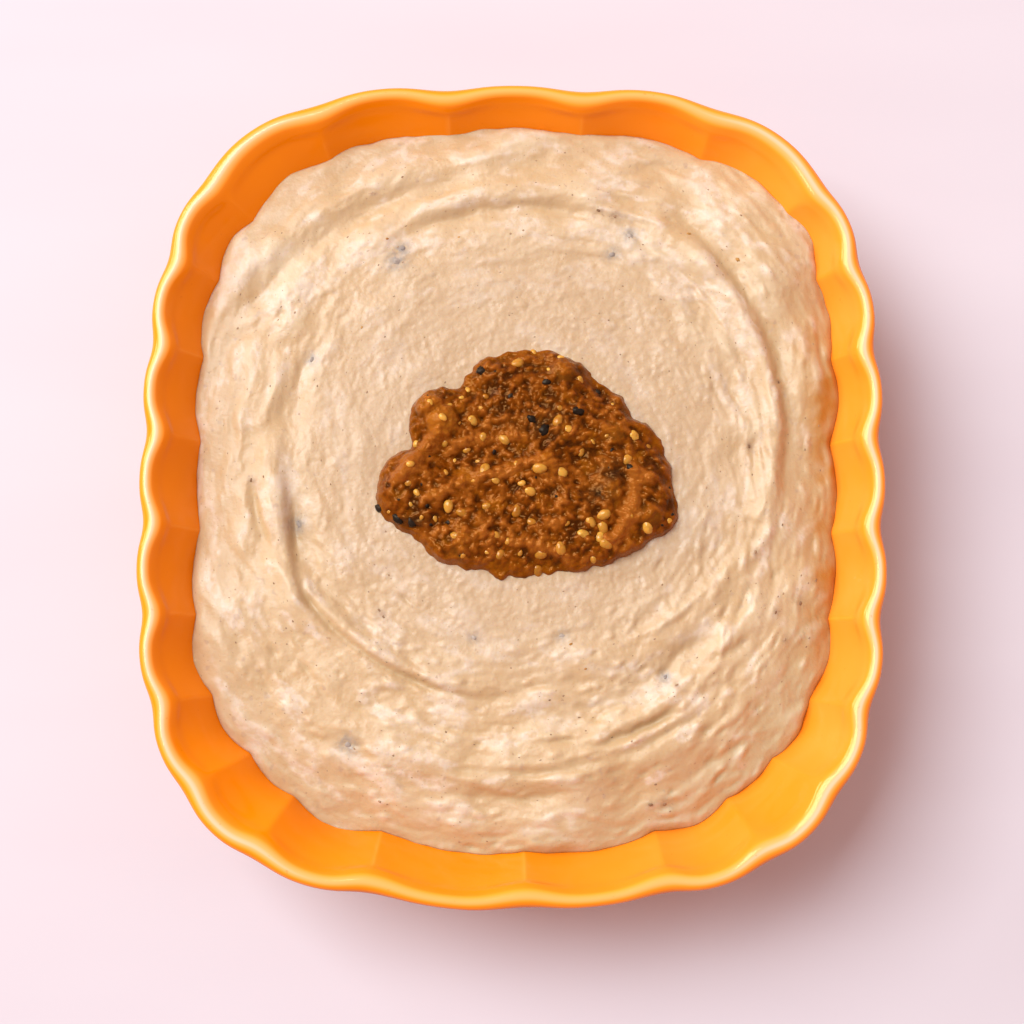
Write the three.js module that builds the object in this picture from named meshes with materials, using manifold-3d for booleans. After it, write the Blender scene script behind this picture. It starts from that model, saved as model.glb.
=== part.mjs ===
// Baba ganoush in a fluted oven dish: a glazed stoneware dish, the pale spread that fills it and
// the brown spoonful of roasted aubergine on top. Millimetres, +Z up, +Y away from the viewer,
// with the origin at the middle of the dish's foot.

import * as THREE from 'three';
import { mergeVertices } from 'three/addons/utils/BufferGeometryUtils.js';
import Module from 'manifold-3d';

const wasm = await Module();
wasm.setup();

// Dish: the rim is a superellipse, and the wall leans in from it down to the foot.
const RIM_HALF_WIDTH = 88.2;
const RIM_HALF_LENGTH = 97.8;
const RIM_SQUARENESS = 3.35;
const DISH_HEIGHT = 46;
const LIP_RADIUS = 2.3;
const WALL_THICKNESS = 4.8;
const FLOOR_THICKNESS = 5;
const WALL_LEAN = 0.65; // run in per millimetre down, just under the lip
const WALL_STRAIGHTENING = 0.0045; // how fast that lean is lost on the way down
const CORNER_EXTRA = 4.2; // how much further in the wall lies at the corners
const CORNER_RUN = 12; // inset at which it does so in full
const FOOT_RADIUS = 3;
const FLOOR_FILLET = 8;

// Flutes: lobes that bulge outwards, with a sharper valley between each two.
const SIDE_LOBES = 7;
const SIDE_STRETCH = 151.6; // rim length that the lobes of one long side take up
const FAR_LOBES = 5;
const NEAR_LOBE_SHARES = [0.134, 0.147, 0.219, 0.219, 0.147, 0.134];
const VALLEY_SHARPNESS = 0.14;
const FLUTE_AT_LIP = 0.75; // half the depth of the wave on the lip's outer edge
const FLUTE_INSIDE = 1.7; // and on the wall inside, just under the lip
const FLUTE_OUTSIDE = 1.3;
const FLUTE_CORNER_LOSS = 0.3;
const STEPS_PER_LOBE = 6;

// Spread: nearly level, a little higher at the far end and on the right, rolled down where it
// meets the wall.
const SPREAD_LEVEL = 38.3;
const SPREAD_TILT = [0.01, 0.018];
const SPREAD_HALF_WIDTH = 78.4;
const SPREAD_HALF_LENGTH = 88;
const SPREAD_SQUARENESS = 2.35;
const EDGE_ROLL_START = 0.8; // share of the way out to the wall
const EDGE_ROLL_LIMIT = 1.5;
const EDGE_DROP = 3.6;
const EDGE_DROP_FAR = 1.4;
const FAR_SHARE = [0.2, 0.9]; // where along the length the drop changes to the far one
const SPREAD_GRID = 4.5;
const SWIRL_CENTRE = [2.5, 8.6];

// Strokes that the spoon left: arcs round the swirl's centre, in degrees from +X, whose radius
// runs from the first to the last value. A negative height is a groove.
const STROKES = [
  { name: 'right ridge', from: 52, to: -8, radii: [64.5, 60], height: 1.7, width: 4.2 },
  { name: 'right outer groove', from: 50, to: 0, radii: [69.5, 65], height: -1.0, width: 3.5 },
  { name: 'sweep under the topping', from: -20, to: -72, radii: [60, 53], height: 1.3, width: 4 },
  { name: 'near groove', from: -50, to: -82, radii: [63, 65], height: -1.1, width: 3.5 },
  { name: 'near ridge', from: -42, to: -80, radii: [67, 73], height: 1.4, width: 4 },
  { name: 'near outer ridge', from: -52, to: -118, radii: [79, 79], height: 1.1, width: 4.5 },
  { name: 'near outer groove', from: -78, to: -102, radii: [84, 84], height: -1.0, width: 3.5 },
  { name: 'lower left ridge', from: -146, to: -102, radii: [62, 58], height: 1.1, width: 4 },
  { name: 'left fold', from: -146, to: -176, radii: [65, 61], height: 1.5, width: 4 },
  { name: 'left groove', from: -148, to: -166, radii: [60, 57], height: -1.4, width: 3.5 },
  { name: 'left inner groove', from: 178, to: 162, radii: [57, 57], height: -1.2, width: 3.5 },
  { name: 'far left bank', from: 160, to: 100, radii: [83, 74], height: 0.9, width: 4.5 },
  { name: 'far left groove', from: 160, to: 108, radii: [77, 68.5], height: -1.4, width: 3.5 },
  { name: 'far ridge', from: 106, to: 76, radii: [64.5, 64.5], height: 0.9, width: 4 },
  { name: 'far groove', from: 110, to: 82, radii: [60, 60], height: -1.0, width: 3.5 },
];
const STROKE_FADE = 14; // degrees over which a stroke runs out at each end

// Topping: mounds of pulp [x, y, half width, half length] that run into one another.
const MOUNDS = {
  body: [2.8, -1.9, 27.4, 20.6],
  far: [4.0, 22.5, 16.6, 10.6],
  leftShoulder: [-15.5, 14.4, 9.8, 9.5],
  leftTail: [-23.0, -2.0, 9.9, 10.4],
  right: [27.6, 0.1, 11.9, 17.0],
  nearRight: [14.9, -11.1, 15.3, 9.7],
  farRight: [15.4, 15.4, 13.8, 10.8],
  nearLeft: [-9.3, -11.1, 14.1, 8.7],
};
const MOUND_REACH = 1.6;
const TOPPING_HEIGHT = 6.6;
const TOPPING_FULL = 1.3; // field value at which the topping has its full height
const TOPPING_LUMP = 0.7;
const TOPPING_LUMP_PITCH = 9;
const TOPPING_SKIRT = 8; // how steeply the pulp dives under the spread past its outline
const TOPPING_GRID = 3;
const TOPPING_BOX = { x: [-38, 44], y: [-28, 38] };

// Aubergine seeds and flecks of burnt skin that stand out of the topping.
const SEED_SIZE = [1.7, 1.3, 0.8];
const SEED_COUNT = 26;
const SEED_CLUSTER = { x: 20.5, y: -8.4, radius: 6, count: 7 };
const CHAR_SIZE = [1.8, 1.2, 0.8];
const CHAR_PLACES = [[6.6, 14.8], [15.8, 18.8], [-8.1, 27], [-29, -5.6], [-24, -8.2], [12.9, 25]];
const FLECK_SPACING = 5.2;
const FLECK_FIELD = 0.25; // least field value where a fleck lies, to keep it off the rim
const FLECK_SINK = 0.2; // how far a fleck's middle lies under the pulp
const RANDOM_SEED = 7;
const SCATTER_TRIES = 4000;

const GAP = 0.3; // clearance between pieces that touch
const CURVE_STEPS = 4000;

const clamp01 = (v) => Math.min(1, Math.max(0, v));
const smooth = (a, b, v) => THREE.MathUtils.smoothstep(v, a, b);

// Rim curve

function superellipseNorm(x, y, halfWidth, halfLength, power) {
  return (Math.abs(x / halfWidth) ** power + Math.abs(y / halfLength) ** power) ** (1 / power);
}

// The rim's mean line from the middle of the right side, anticlockwise, with its length so far.
function rimCurve() {
  const points = [];
  let length = 0;
  for (let i = 0; i <= CURVE_STEPS; i += 1) {
    const angle = (2 * Math.PI * i) / CURVE_STEPS;
    const [c, s] = [Math.cos(angle), Math.sin(angle)];
    const reach = 1 / superellipseNorm(c, s, RIM_HALF_WIDTH, RIM_HALF_LENGTH, RIM_SQUARENESS);
    const point = new THREE.Vector2(c * reach, s * reach);
    if (i > 0) length += point.distanceTo(points[i - 1].point);
    points.push({ point, length });
  }
  return { points, length };
}

const RIM = rimCurve();

// The point at that length along the rim, with the outward normal there.
function rimPoint(length) {
  const at = ((length % RIM.length) + RIM.length) % RIM.length;
  let i = 1;
  while (RIM.points[i].length < at) i += 1;
  const [a, b] = [RIM.points[i - 1], RIM.points[i]];
  const point = a.point.clone().lerp(b.point, (at - a.length) / (b.length - a.length));
  const along = b.point.clone().sub(a.point).normalize();
  const normal = new THREE.Vector2(along.y, -along.x);
  return { point, normal, corner: Math.abs(2 * normal.x * normal.y) ** 2 };
}

function lobeWidths() {
  const end = RIM.length / 2 - SIDE_STRETCH;
  const side = Array(SIDE_LOBES).fill(SIDE_STRETCH / SIDE_LOBES);
  const far = Array(FAR_LOBES).fill(end / FAR_LOBES);
  const near = NEAR_LOBE_SHARES.map((share) => share * end);
  return [...side, ...far, ...side, ...near];
}

// Stations round the rim: place, normal and height of the flute's wave, from -1 to 1.
function rimStations() {
  const stations = [];
  let start = -SIDE_STRETCH / 2;
  for (const width of lobeWidths()) {
    for (let step = 0; step < STEPS_PER_LOBE; step += 1) {
      const phase = (2 * Math.PI * step) / STEPS_PER_LOBE;
      const rim = rimPoint(start + (width * step) / STEPS_PER_LOBE);
      const wave = -Math.cos(phase) - VALLEY_SHARPNESS * Math.cos(2 * phase);
      stations.push({ ...rim, wave: wave * (1 - FLUTE_CORNER_LOSS * rim.corner) });
    }
    start += width;
  }
  return stations;
}

const STATIONS = rimStations();

// Dish profile: rows of {inset from the rim's line, height, half depth of the flutes}.

function wallInset(depth) {
  const run = Math.max(0, depth - LIP_RADIUS);
  return 2 * LIP_RADIUS + WALL_LEAN * run - WALL_STRAIGHTENING * run * run;
}

// A quarter or half round from one angle to another, in degrees, about a centre in the profile.
function arcRows(inset, z, radius, from, to, steps, flute) {
  return Array.from({ length: steps + 1 }, (_, i) => {
    const angle = THREE.MathUtils.degToRad(from + ((to - from) * i) / steps);
    const row = { inset: inset + radius * Math.cos(angle), z: z + radius * Math.sin(angle) };
    return { ...row, flute: flute(i / steps) };
  });
}

// The flutes die out towards the foot, inside sooner than outside.
function wallRows(depths, across, flute) {
  return depths.map((depth) => ({
    inset: wallInset(depth) - across,
    z: DISH_HEIGHT - depth,
    flute: flute(depth / DISH_HEIGHT),
  }));
}

function outsideRows() {
  const wall = wallRows([42, 26, 8], WALL_THICKNESS, (share) => FLUTE_OUTSIDE * (1 - share ** 2));
  const foot = wall[0].inset + FOOT_RADIUS;
  const footArc = arcRows(foot, FOOT_RADIUS, FOOT_RADIUS, 270, 200, 2, () => 0);
  return [...footArc, ...wall];
}

function lipRows() {
  const wave = (share) => FLUTE_AT_LIP + (FLUTE_INSIDE - FLUTE_AT_LIP) * share;
  return arcRows(LIP_RADIUS, DISH_HEIGHT - LIP_RADIUS, LIP_RADIUS, 180, 0, 4, wave);
}

function insideRows() {
  const wall = wallRows([8, 15, 33], 0, (share) => FLUTE_INSIDE * (1 - share) ** 2);
  const edge = wall[wall.length - 1].inset + FLOOR_FILLET;
  const fillet = arcRows(edge, FLOOR_THICKNESS + FLOOR_FILLET, FLOOR_FILLET, 200, 270, 2, () => 0);
  return [...wall, ...fillet];
}

// A closed skin through the rows, from a point on the axis to a point on the axis. A lathe gives
// the triangles, and each of its points is then moved to its place on the fluted outline. Rows
// that run downwards give the hollow's skin, which is turned to face out.
function flutedSolid(rows, downwards = false) {
  const last = rows.length + 1;
  const profile = Array.from({ length: rows.length + 2 }, (_, i) => new THREE.Vector2(i % last ? 1 : 0, i));
  const geometry = new THREE.LatheGeometry(profile, STATIONS.length);
  const position = geometry.attributes.position;
  for (let i = 0; i < position.count; i += 1) {
    const station = STATIONS[Math.floor(i / profile.length) % STATIONS.length];
    const level = i % profile.length;
    const row = rows[THREE.MathUtils.clamp(level - 1, 0, rows.length - 1)];
    if (level % last === 0) {
      position.setXYZ(i, 0, 0, row.z);
    } else {
      const inset = row.inset + CORNER_EXTRA * station.corner * smooth(0, CORNER_RUN, row.inset);
      const out = station.wave * row.flute - inset;
      const place = station.normal.clone().multiplyScalar(out).add(station.point);
      position.setXYZ(i, place.x, place.y, row.z);
    }
  }
  return solidFrom(geometry, downwards);
}

// Solids and meshes

function solidFrom(geometry, flipped = false) {
  const bare = geometry.clone();
  bare.deleteAttribute('normal');
  bare.deleteAttribute('uv');
  const merged = mergeVertices(bare, 1e-4);
  const index = merged.index.array;
  const triVerts = [];
  for (let i = 0; i < index.length; i += 3) {
    const [a, b, c] = flipped ? [index[i + 2], index[i + 1], index[i]] : index.slice(i, i + 3);
    if (a !== b && b !== c && c !== a) triVerts.push(a, b, c);
  }
  const vertProperties = new Float32Array(merged.attributes.position.array);
  const mesh = new wasm.Mesh({ numProp: 3, vertProperties, triVerts: new Uint32Array(triVerts) });
  return new wasm.Manifold(mesh);
}

function namedMesh(name, solid, look) {
  const { vertProperties, triVerts } = solid.getMesh();
  const geometry = new THREE.BufferGeometry();
  geometry.setAttribute('position', new THREE.BufferAttribute(vertProperties, 3));
  geometry.setIndex(new THREE.BufferAttribute(triVerts, 1));
  geometry.computeVertexNormals();
  const mesh = new THREE.Mesh(geometry, new THREE.MeshStandardMaterial(look));
  mesh.name = name;
  return mesh;
}

// A block over a box in plan, whose upper face follows height(x, y).
function reliefBlock(x, y, grid, floor, height) {
  const [width, length] = [x[1] - x[0], y[1] - y[0]];
  const steps = [Math.round(width / grid), Math.round(length / grid)];
  const geometry = new THREE.BoxGeometry(width, length, 2, steps[0], steps[1], 1);
  geometry.translate((x[0] + x[1]) / 2, (y[0] + y[1]) / 2, 0);
  const position = geometry.attributes.position;
  for (let i = 0; i < position.count; i += 1) {
    const top = height(position.getX(i), position.getY(i));
    position.setZ(i, position.getZ(i) > 0 ? top : floor);
  }
  return solidFrom(geometry);
}

// Spread

function strokeHeight(stroke, radius, angle) {
  const span = stroke.to - stroke.from;
  const middle = (stroke.from + stroke.to) / 2;
  const turn = THREE.MathUtils.euclideanModulo(angle - middle + 180, 360) - 180;
  const past = Math.abs(turn) - Math.abs(span) / 2;
  const share = clamp01(0.5 + turn / span);
  const line = THREE.MathUtils.lerp(stroke.radii[0], stroke.radii[1], share);
  const across = (radius - line) / stroke.width;
  return stroke.height * Math.exp(-across * across) * (1 - smooth(0, STROKE_FADE, past));
}

function spreadTop(x, y) {
  const [dx, dy] = [x - SWIRL_CENTRE[0], y - SWIRL_CENTRE[1]];
  const angle = THREE.MathUtils.radToDeg(Math.atan2(dy, dx));
  const radius = Math.hypot(dx, dy);
  const strokes = STROKES.reduce((sum, stroke) => sum + strokeHeight(stroke, radius, angle), 0);
  const out = superellipseNorm(x, y, SPREAD_HALF_WIDTH, SPREAD_HALF_LENGTH, SPREAD_SQUARENESS);
  const past = (out - EDGE_ROLL_START) / (1 - EDGE_ROLL_START);
  const roll = THREE.MathUtils.clamp(past, 0, EDGE_ROLL_LIMIT);
  const farness = smooth(FAR_SHARE[0], FAR_SHARE[1], y / SPREAD_HALF_LENGTH);
  const drop = THREE.MathUtils.lerp(EDGE_DROP, EDGE_DROP_FAR, farness);
  const level = SPREAD_LEVEL + SPREAD_TILT[0] * x + SPREAD_TILT[1] * y;
  return level + strokes - drop * roll * roll;
}

function spreadBlock(lift) {
  const x = [-RIM_HALF_WIDTH, RIM_HALF_WIDTH];
  const y = [-RIM_HALF_LENGTH, RIM_HALF_LENGTH];
  return reliefBlock(x, y, SPREAD_GRID, -DISH_HEIGHT, (px, py) => spreadTop(px, py) + lift);
}

// The hollow of the dish, a gap's width inside its faces and carried up past the lip.
function hollow() {
  const inside = insideRows();
  const lip = { ...lipRows().pop(), z: DISH_HEIGHT + LIP_RADIUS };
  const rows = [lip, ...inside].map((row) => ({ ...row, inset: row.inset + GAP, z: row.z + GAP }));
  return flutedSolid(rows, true);
}

// Topping

function moundField(x, y) {
  let sum = 0;
  for (const [mx, my, halfWidth, halfLength] of Object.values(MOUNDS)) {
    const q = ((x - mx) / halfWidth) ** 2 + ((y - my) / halfLength) ** 2;
    sum += Math.max(0, MOUND_REACH - q) ** 3;
  }
  return Math.cbrt(sum) - (MOUND_REACH - 1);
}

function toppingTop(x, y) {
  const field = moundField(x, y);
  const turn = (2 * Math.PI) / TOPPING_LUMP_PITCH;
  const lump = TOPPING_LUMP * Math.sin(turn * (x + 0.6 * y)) * Math.sin(turn * (y - 0.4 * x));
  const dome = Math.sqrt(clamp01(field / TOPPING_FULL)) * (TOPPING_HEIGHT + lump);
  return spreadTop(x, y) + dome + TOPPING_SKIRT * Math.min(0, field);
}

// A repeatable stream of numbers from 0 to 1.
function randomStream(seed) {
  let state = seed;
  return () => {
    state = (state * 16807) % 2147483647;
    return state / 2147483647;
  };
}

const draw = randomStream(RANDOM_SEED);

// Places inside an outline, no two nearer than the spacing.
function scatter(count, spacing, taken, pick) {
  const places = [];
  for (let tries = 0; places.length < count && tries < SCATTER_TRIES; tries += 1) {
    const [x, y] = pick();
    const clear = [...taken, ...places].every((p) => Math.hypot(p[0] - x, p[1] - y) > spacing);
    if (clear && moundField(x, y) > FLECK_FIELD) places.push([x, y]);
  }
  return places;
}

function pickAnywhere() {
  const { x, y } = TOPPING_BOX;
  return [THREE.MathUtils.lerp(x[0], x[1], draw()), THREE.MathUtils.lerp(y[0], y[1], draw())];
}

function pickInCluster() {
  const [angle, reach] = [2 * Math.PI * draw(), SEED_CLUSTER.radius * Math.sqrt(draw())];
  return [SEED_CLUSTER.x + reach * Math.cos(angle), SEED_CLUSTER.y + reach * Math.sin(angle)];
}

// One seed or fleck: a small ellipsoid, half sunk where it lies.
function fleck([x, y], size, detail) {
  const geometry = new THREE.SphereGeometry(1, detail, 4);
  geometry.rotateX(Math.PI / 2);
  geometry.scale(size[0], size[1], size[2]);
  geometry.rotateZ(Math.PI * draw());
  geometry.translate(x, y, toppingTop(x, y) - FLECK_SINK);
  return solidFrom(geometry);
}

function topping() {
  const pulp = reliefBlock(TOPPING_BOX.x, TOPPING_BOX.y, TOPPING_GRID, 0, toppingTop);
  const clusterSpacing = 2 * SEED_SIZE[0];
  const cluster = scatter(SEED_CLUSTER.count, clusterSpacing, [], pickInCluster);
  const taken = [...cluster, ...CHAR_PLACES];
  const seeds = [...cluster, ...scatter(SEED_COUNT, FLECK_SPACING, taken, pickAnywhere)];
  const flecks = [
    ...seeds.map((place) => fleck(place, SEED_SIZE, 6)),
    ...CHAR_PLACES.map((place) => fleck(place, CHAR_SIZE, 5)),
  ];
  const whole = flecks.reduce((sum, solid) => sum.add(solid), pulp).subtract(spreadBlock(GAP));
  return whole.decompose().sort((a, b) => b.volume() - a.volume())[0];
}

const part = new THREE.Group();
part.name = 'baba_ganoush';
const glaze = { color: 0xf08a0c, roughness: 0.18, metalness: 0 };
const cream = { color: 0xe6cda8, roughness: 0.45, metalness: 0 };
const roast = { color: 0x8a4a1c, roughness: 0.35, metalness: 0 };
const dish = flutedSolid([...outsideRows(), ...lipRows(), ...insideRows()]);
part.add(namedMesh('dish', dish, glaze));
part.add(namedMesh('spread', spreadBlock(0).intersect(hollow()), cream));
part.add(namedMesh('topping', topping(), roast));

export default part;
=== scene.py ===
"""Baba ganoush in a fluted oven dish: glazed dish, swirled spread and a spoonful of roasted aubergine.

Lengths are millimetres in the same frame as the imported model, and turn to metres in new_piece().
"""

import math
from functools import partial

import bpy
import numpy as np
from mathutils import Matrix, Vector


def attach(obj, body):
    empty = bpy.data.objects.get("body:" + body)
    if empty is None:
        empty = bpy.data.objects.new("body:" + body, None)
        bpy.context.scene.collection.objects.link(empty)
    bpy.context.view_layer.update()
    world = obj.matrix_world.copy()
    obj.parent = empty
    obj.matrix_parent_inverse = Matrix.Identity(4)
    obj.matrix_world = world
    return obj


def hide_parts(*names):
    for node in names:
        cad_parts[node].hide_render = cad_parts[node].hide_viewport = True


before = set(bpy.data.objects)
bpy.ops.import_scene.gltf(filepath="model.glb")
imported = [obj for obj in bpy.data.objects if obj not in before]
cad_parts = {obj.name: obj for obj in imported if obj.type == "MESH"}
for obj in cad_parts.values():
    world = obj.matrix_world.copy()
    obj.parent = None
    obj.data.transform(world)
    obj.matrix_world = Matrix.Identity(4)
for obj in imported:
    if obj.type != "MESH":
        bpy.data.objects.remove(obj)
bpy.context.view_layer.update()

MM = 0.001

# Dish: the rim is a superellipse, and the wall leans in from it down to the foot.
RIM_HALF_WIDTH = 88.2
RIM_HALF_LENGTH = 97.8
RIM_SQUARENESS = 3.35
DISH_HEIGHT = 46.0
LIP_RADIUS = 2.1
WALL_THICKNESS = 4.8
FLOOR_THICKNESS = 5.0
WALL_LEAN = 0.65
WALL_STRAIGHTENING = 0.0045
WALL_START = LIP_RADIUS * (1 + math.sqrt(1 + WALL_LEAN ** 2))
CORNER_EXTRA = 4.2
CORNER_RUN = 12.0
FOOT_RADIUS = 3.0
FOOT_TOP = 42.0
FLOOR_FILLET = 8.0
FILLET_TOP = 33.0
LIP_BLEND = 8.0  # depth below the rim at which the wall has its own thickness and flutes

# Flutes: lobes that bulge outwards and meet in a sharper valley.
SIDE_LOBES = 7
SIDE_STRETCH = 151.6
FAR_LOBES = 5
NEAR_LOBE_SHARES = (0.134, 0.169, 0.219, 0.197, 0.147, 0.134)
FLUTE_AT_LIP = 0.6
FLUTE_INSIDE = 1.25
FLUTE_SCOOP = 1.0
SCOOP_DEPTH = 10.0  # depth below the rim at which the flutes inside have become shallow scoops
FLUTE_OUTSIDE = 1.3
FLUTE_CORNER_LOSS = 0.4
SCOOP_CORNER_LOSS = 0.1
VALLEY_SHARPNESS = 0.14
CUSP_RUN = 2.2  # depth under the lip over which the inside's flutes turn from waves to scallops
CUSP_ROUNDING = 0.03
RIDGE_THIN_GLAZE_AND_REFLECTION = 0.4  # how much paler the ridges inside are: thinner glaze there, partly a painted reflection
RIDGE_PALENESS_REACH = 0.14
LEE_SHADE_TOP = (0.15, 0.8)  # where the painted shade under the lip's outside starts and ends, in lip radii
LEE_SHADE_END = (3.0, 6.0)
LEE_SHADE_SIDE = (-0.6, 0.9)  # how the painted shade grows towards the right and near sides, away from the light
CREST_INSIDE = 2.5  # how quickly the lip's pale crest ends, towards the inside and the outside; it is thinner glaze and partly a painted highlight
CREST_OUTSIDE = 9
CREST_AT_ENDS = 0.72  # its share in the middle of the near and far sides, where the painted highlight is weaker
CREST_ENDS = (0.2, 0.8)
NEAR_BULGE = 2.2  # how far the middle of the near side stands out of the superellipse
NEAR_BULGE_REACH = 20.0
LIT_SIDE_SPAN = (-0.4, 1.2)  # where across the dish the glaze is painted from deep on the shaded left to pale on the lit right
RIM_STEPS = 6000
DISH_ROUND = 750

# Steps of the dish's profile, and the angles that its arcs turn through.
FOOT_ARC = (270, 200)
FOOT_STEPS = 7
OUTSIDE_START = 0.5  # how far below the lip's round the outside wall starts
OUTSIDE_STEPS = 26
LIP_STEPS = 21
INSIDE_STEPS = 30
INSIDE_CROWDING = 1.5  # crowds the inside's rows towards the lip
FILLET_ARC = (205, 270)
FILLET_STEPS = 8

# Spread: nearly level, rolled down where it meets the wall.
SPREAD_LEVEL = 38.3
SPREAD_TILT = (0.01, 0.018)
SPREAD_HALF_WIDTH = 78.4
SPREAD_HALF_LENGTH = 88.0
SPREAD_SQUARENESS = 2.35
EDGE_ROLL_START = 0.8
EDGE_ROLL_LIMIT = 1.5
EDGE_DROP = 3.6
EDGE_DROP_FAR = 1.4
FAR_SHARE = (0.2, 0.9)
SPREAD_ROUND = 520
SPREAD_RINGS = 180
COVERED_SHARE = 0.2  # how far out from the middle the topping covers the spread everywhere
SPREAD_MIDDLE = (4.0, 4.0)
SWIRL_CENTRE = (2.5, 8.6)
SWIRL_CORE = 12.0
GAP = 0.3

# Where the spread reaches further up or less far up the wall: angle round the dish and half span, in
# degrees, and height.
EDGE_SWELLS = (
    (20, 14, 2.6), (42, 20, 3.4), (68, 18, -1.0), (108, 22, -1.4), (142, 22, 0.8), (183, 20, -2.0),
    (210, 20, 2.4), (248, 22, -3.2), (268, 16, -1.4), (296, 24, -2.8), (325, 14, 0.2), (333, 12, 0.8),
)
EDGE_ROUNDING = 0.7  # how far the spread turns down where it ends at the wall
EDGE_ROUND_SHARE = 0.025
EDGE_WAVE = 0.2
EDGE_RIPPLE = 0.12
EDGE_OVERLAP = 0.15  # how far the edge is pressed into the wall
EDGE_DEPTH = 9.0  # a first guess of where the edge lies, which EDGE_ROUNDS steps make better
EDGE_DEPTHS = (5.0, 16.0)
EDGE_ROUNDS = 24
EDGE_STEP = 0.4
SIDE_RINGS = 7
SIDE_TOP = 0.08
UNDERSIDE_SHARE = 0.9

# Relief of the spread: it grows away from the middle, and towards the right and near sides.
RELIEF_REACH = (36, 60)
ROUGH_WAY = (0.75, -0.65)
ROUGH_SPAN = (-64, 56)
STREAKS_BY_REACH = (0.15, 1.0)
STREAKS_BY_ROUGHNESS = (0.3, 0.95)
LUMPS_BY_REACH = (0.5, 1.0)
CURDS_BY_ROUGHNESS = (0.2, 0.95)
BEND_AMOUNT = 1.3
STREAK_HEIGHT = 0.26
STREAK_SMEAR = 8.0
FINE_STREAK_HEIGHT = 0.10
FINE_STREAK_SMEAR = 5.0
LUMP_HEIGHT = 0.28
LUMP_SMEAR = 9.0
SWELL_HEIGHT = 0.2
GRAIN_HEIGHT = 0.04
CRUMB_SHARE = 0.7
RELIEF_SPAN = 2.6  # from the lowest to the highest that the colours tell apart, painting shade in the hollows and light on the tops
CURD_REACH = (85.0, 95.0)
CURD_SLANT = 0.2  # how far the lumps are turned from the swirl's own direction, in radians
CURD_UNEVENNESS = 0.25

# Tints of the spread: greyer at the wall on the lit side, painted against the orange light bounced off the
# glaze; a thin film on the right; pale blotches, partly a painted highlight on raised tops; and a darker
# middle of painted shade.
BOUNCE_CORRECTION_EDGE = (0.86, 1.02)
BOUNCE_CORRECTION_WAY = (0.9, -0.45)
BOUNCE_CORRECTION_SPAN = (-50, 40)
BOUNCE_CORRECTION_FAR = (60, 0)
FILM_ACROSS = (62, 76)
FILM_EDGE = (0.86, 0.96)
FILM_NEAR = (-62, -20)
FILM_FAR = (62, 20)
BLOTCH_WEIGHT = 0.8
BLOTCH_SMEAR = 9.0
FLECK_WEIGHT = 0.7
FLECK_SMEAR = 4.0
HIGHLIGHT_BY_RELIEF = 1.2
PALE_AND_HIGHLIGHT_SPAN = (0.1, 1.0)
CENTRE_SHADE_SPAN = (38, 66)

# Strokes of the spoon: arcs round the swirl's centre from one angle to another, in degrees, with
# the radius at both ends, the height (negative for a groove), the half width and the fade in degrees.
BROAD_STROKES = (
    (52, -8, 64.5, 60, 1.7, 4.2, 14),
    (50, 0, 69.5, 65, -1.0, 3.5, 14),
    (-20, -72, 60, 53, 1.1, 4.0, 14),
    (-50, -82, 63, 65, -0.9, 3.5, 14),
    (-42, -80, 67, 73, 1.1, 4.0, 14),
    (-52, -118, 79, 79, 0.9, 4.5, 14),
    (-78, -102, 84, 84, -0.8, 3.5, 14),
    (-146, -102, 62, 58, 1.1, 4.0, 14),
    (-146, -176, 65, 61, 1.5, 4.0, 14),
    (-148, -166, 60, 57, -1.4, 3.5, 14),
    (178, 162, 57, 57, -0.9, 3.5, 14),
    (160, 100, 83, 74, 0.8, 4.5, 14),
    (160, 108, 77, 68.5, -1.0, 3.5, 14),
    (106, 76, 64.5, 64.5, 0.8, 4.0, 14),
    (110, 82, 60, 60, -0.7, 3.5, 14),
)
FINE_STROKES = (
    (55, 33, 58, 57.5, 0.5, 0.8, 4),
    (72, 60, 62.5, 65, 0.5, 0.9, 4),
    (45, -2, 67.5, 63.5, -0.8, 1.6, 8),
    (44, -6, 63.6, 60.3, 0.5, 1.4, 8),
    (28, 3, 56, 54.5, 0.5, 1.6, 6),
    (110, 80, 60.5, 60.5, -0.4, 1.5, 8),
    (-145, -164, 63.2, 57.5, -1.3, 1.4, 5),
    (-147, -170, 61.5, 59.5, 0.8, 1.6, 6),
    (-162, -170, 66, 66, -1.1, 1.5, 5),
    (-104, -142, 61, 63, -0.9, 1.0, 6),
    (-106, -140, 59, 60.5, 0.5, 1.3, 6),
    (-62, -72, 72.5, 72.5, -1.5, 1.5, 4),
    (-42, -47, 64, 69, 0.6, 1.0, 3),
    (-32, -38, 64, 65, -0.7, 1.1, 3),
    (-19, -23, 62, 62, 0.6, 1.3, 3),
    (-54, -58, 87, 87, -0.8, 1.3, 3),
    (-85, -95, 83, 83, -0.7, 1.5, 5),
    (-26, -60, 57, 52.5, 0.5, 1.2, 8),
    (-60, -100, 76, 78, -0.6, 1.3, 8),
)

# Small hollows in the spread: angle, radius, half length along the swirl, half width and depth.
PITS = (
    (278, 70.5, 3.6, 0.9, 0.9), (302, 63, 1.6, 1.0, 0.7), (312, 76, 1.4, 1.0, 0.7),
    (303, 80.5, 2.0, 1.0, 0.8), (286, 80, 1.8, 0.9, 0.7), (151, 68, 1.5, 1.0, 0.7),
    (233, 46, 2.2, 0.6, 0.6), (229, 57, 1.8, 1.0, 0.6), (220, 77, 1.6, 0.9, 0.6),
    (226, 74, 1.3, 0.9, 0.6), (177, 66, 0.9, 4.0, 0.3), (342, 58, 1.2, 1.8, 0.7),
)

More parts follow.
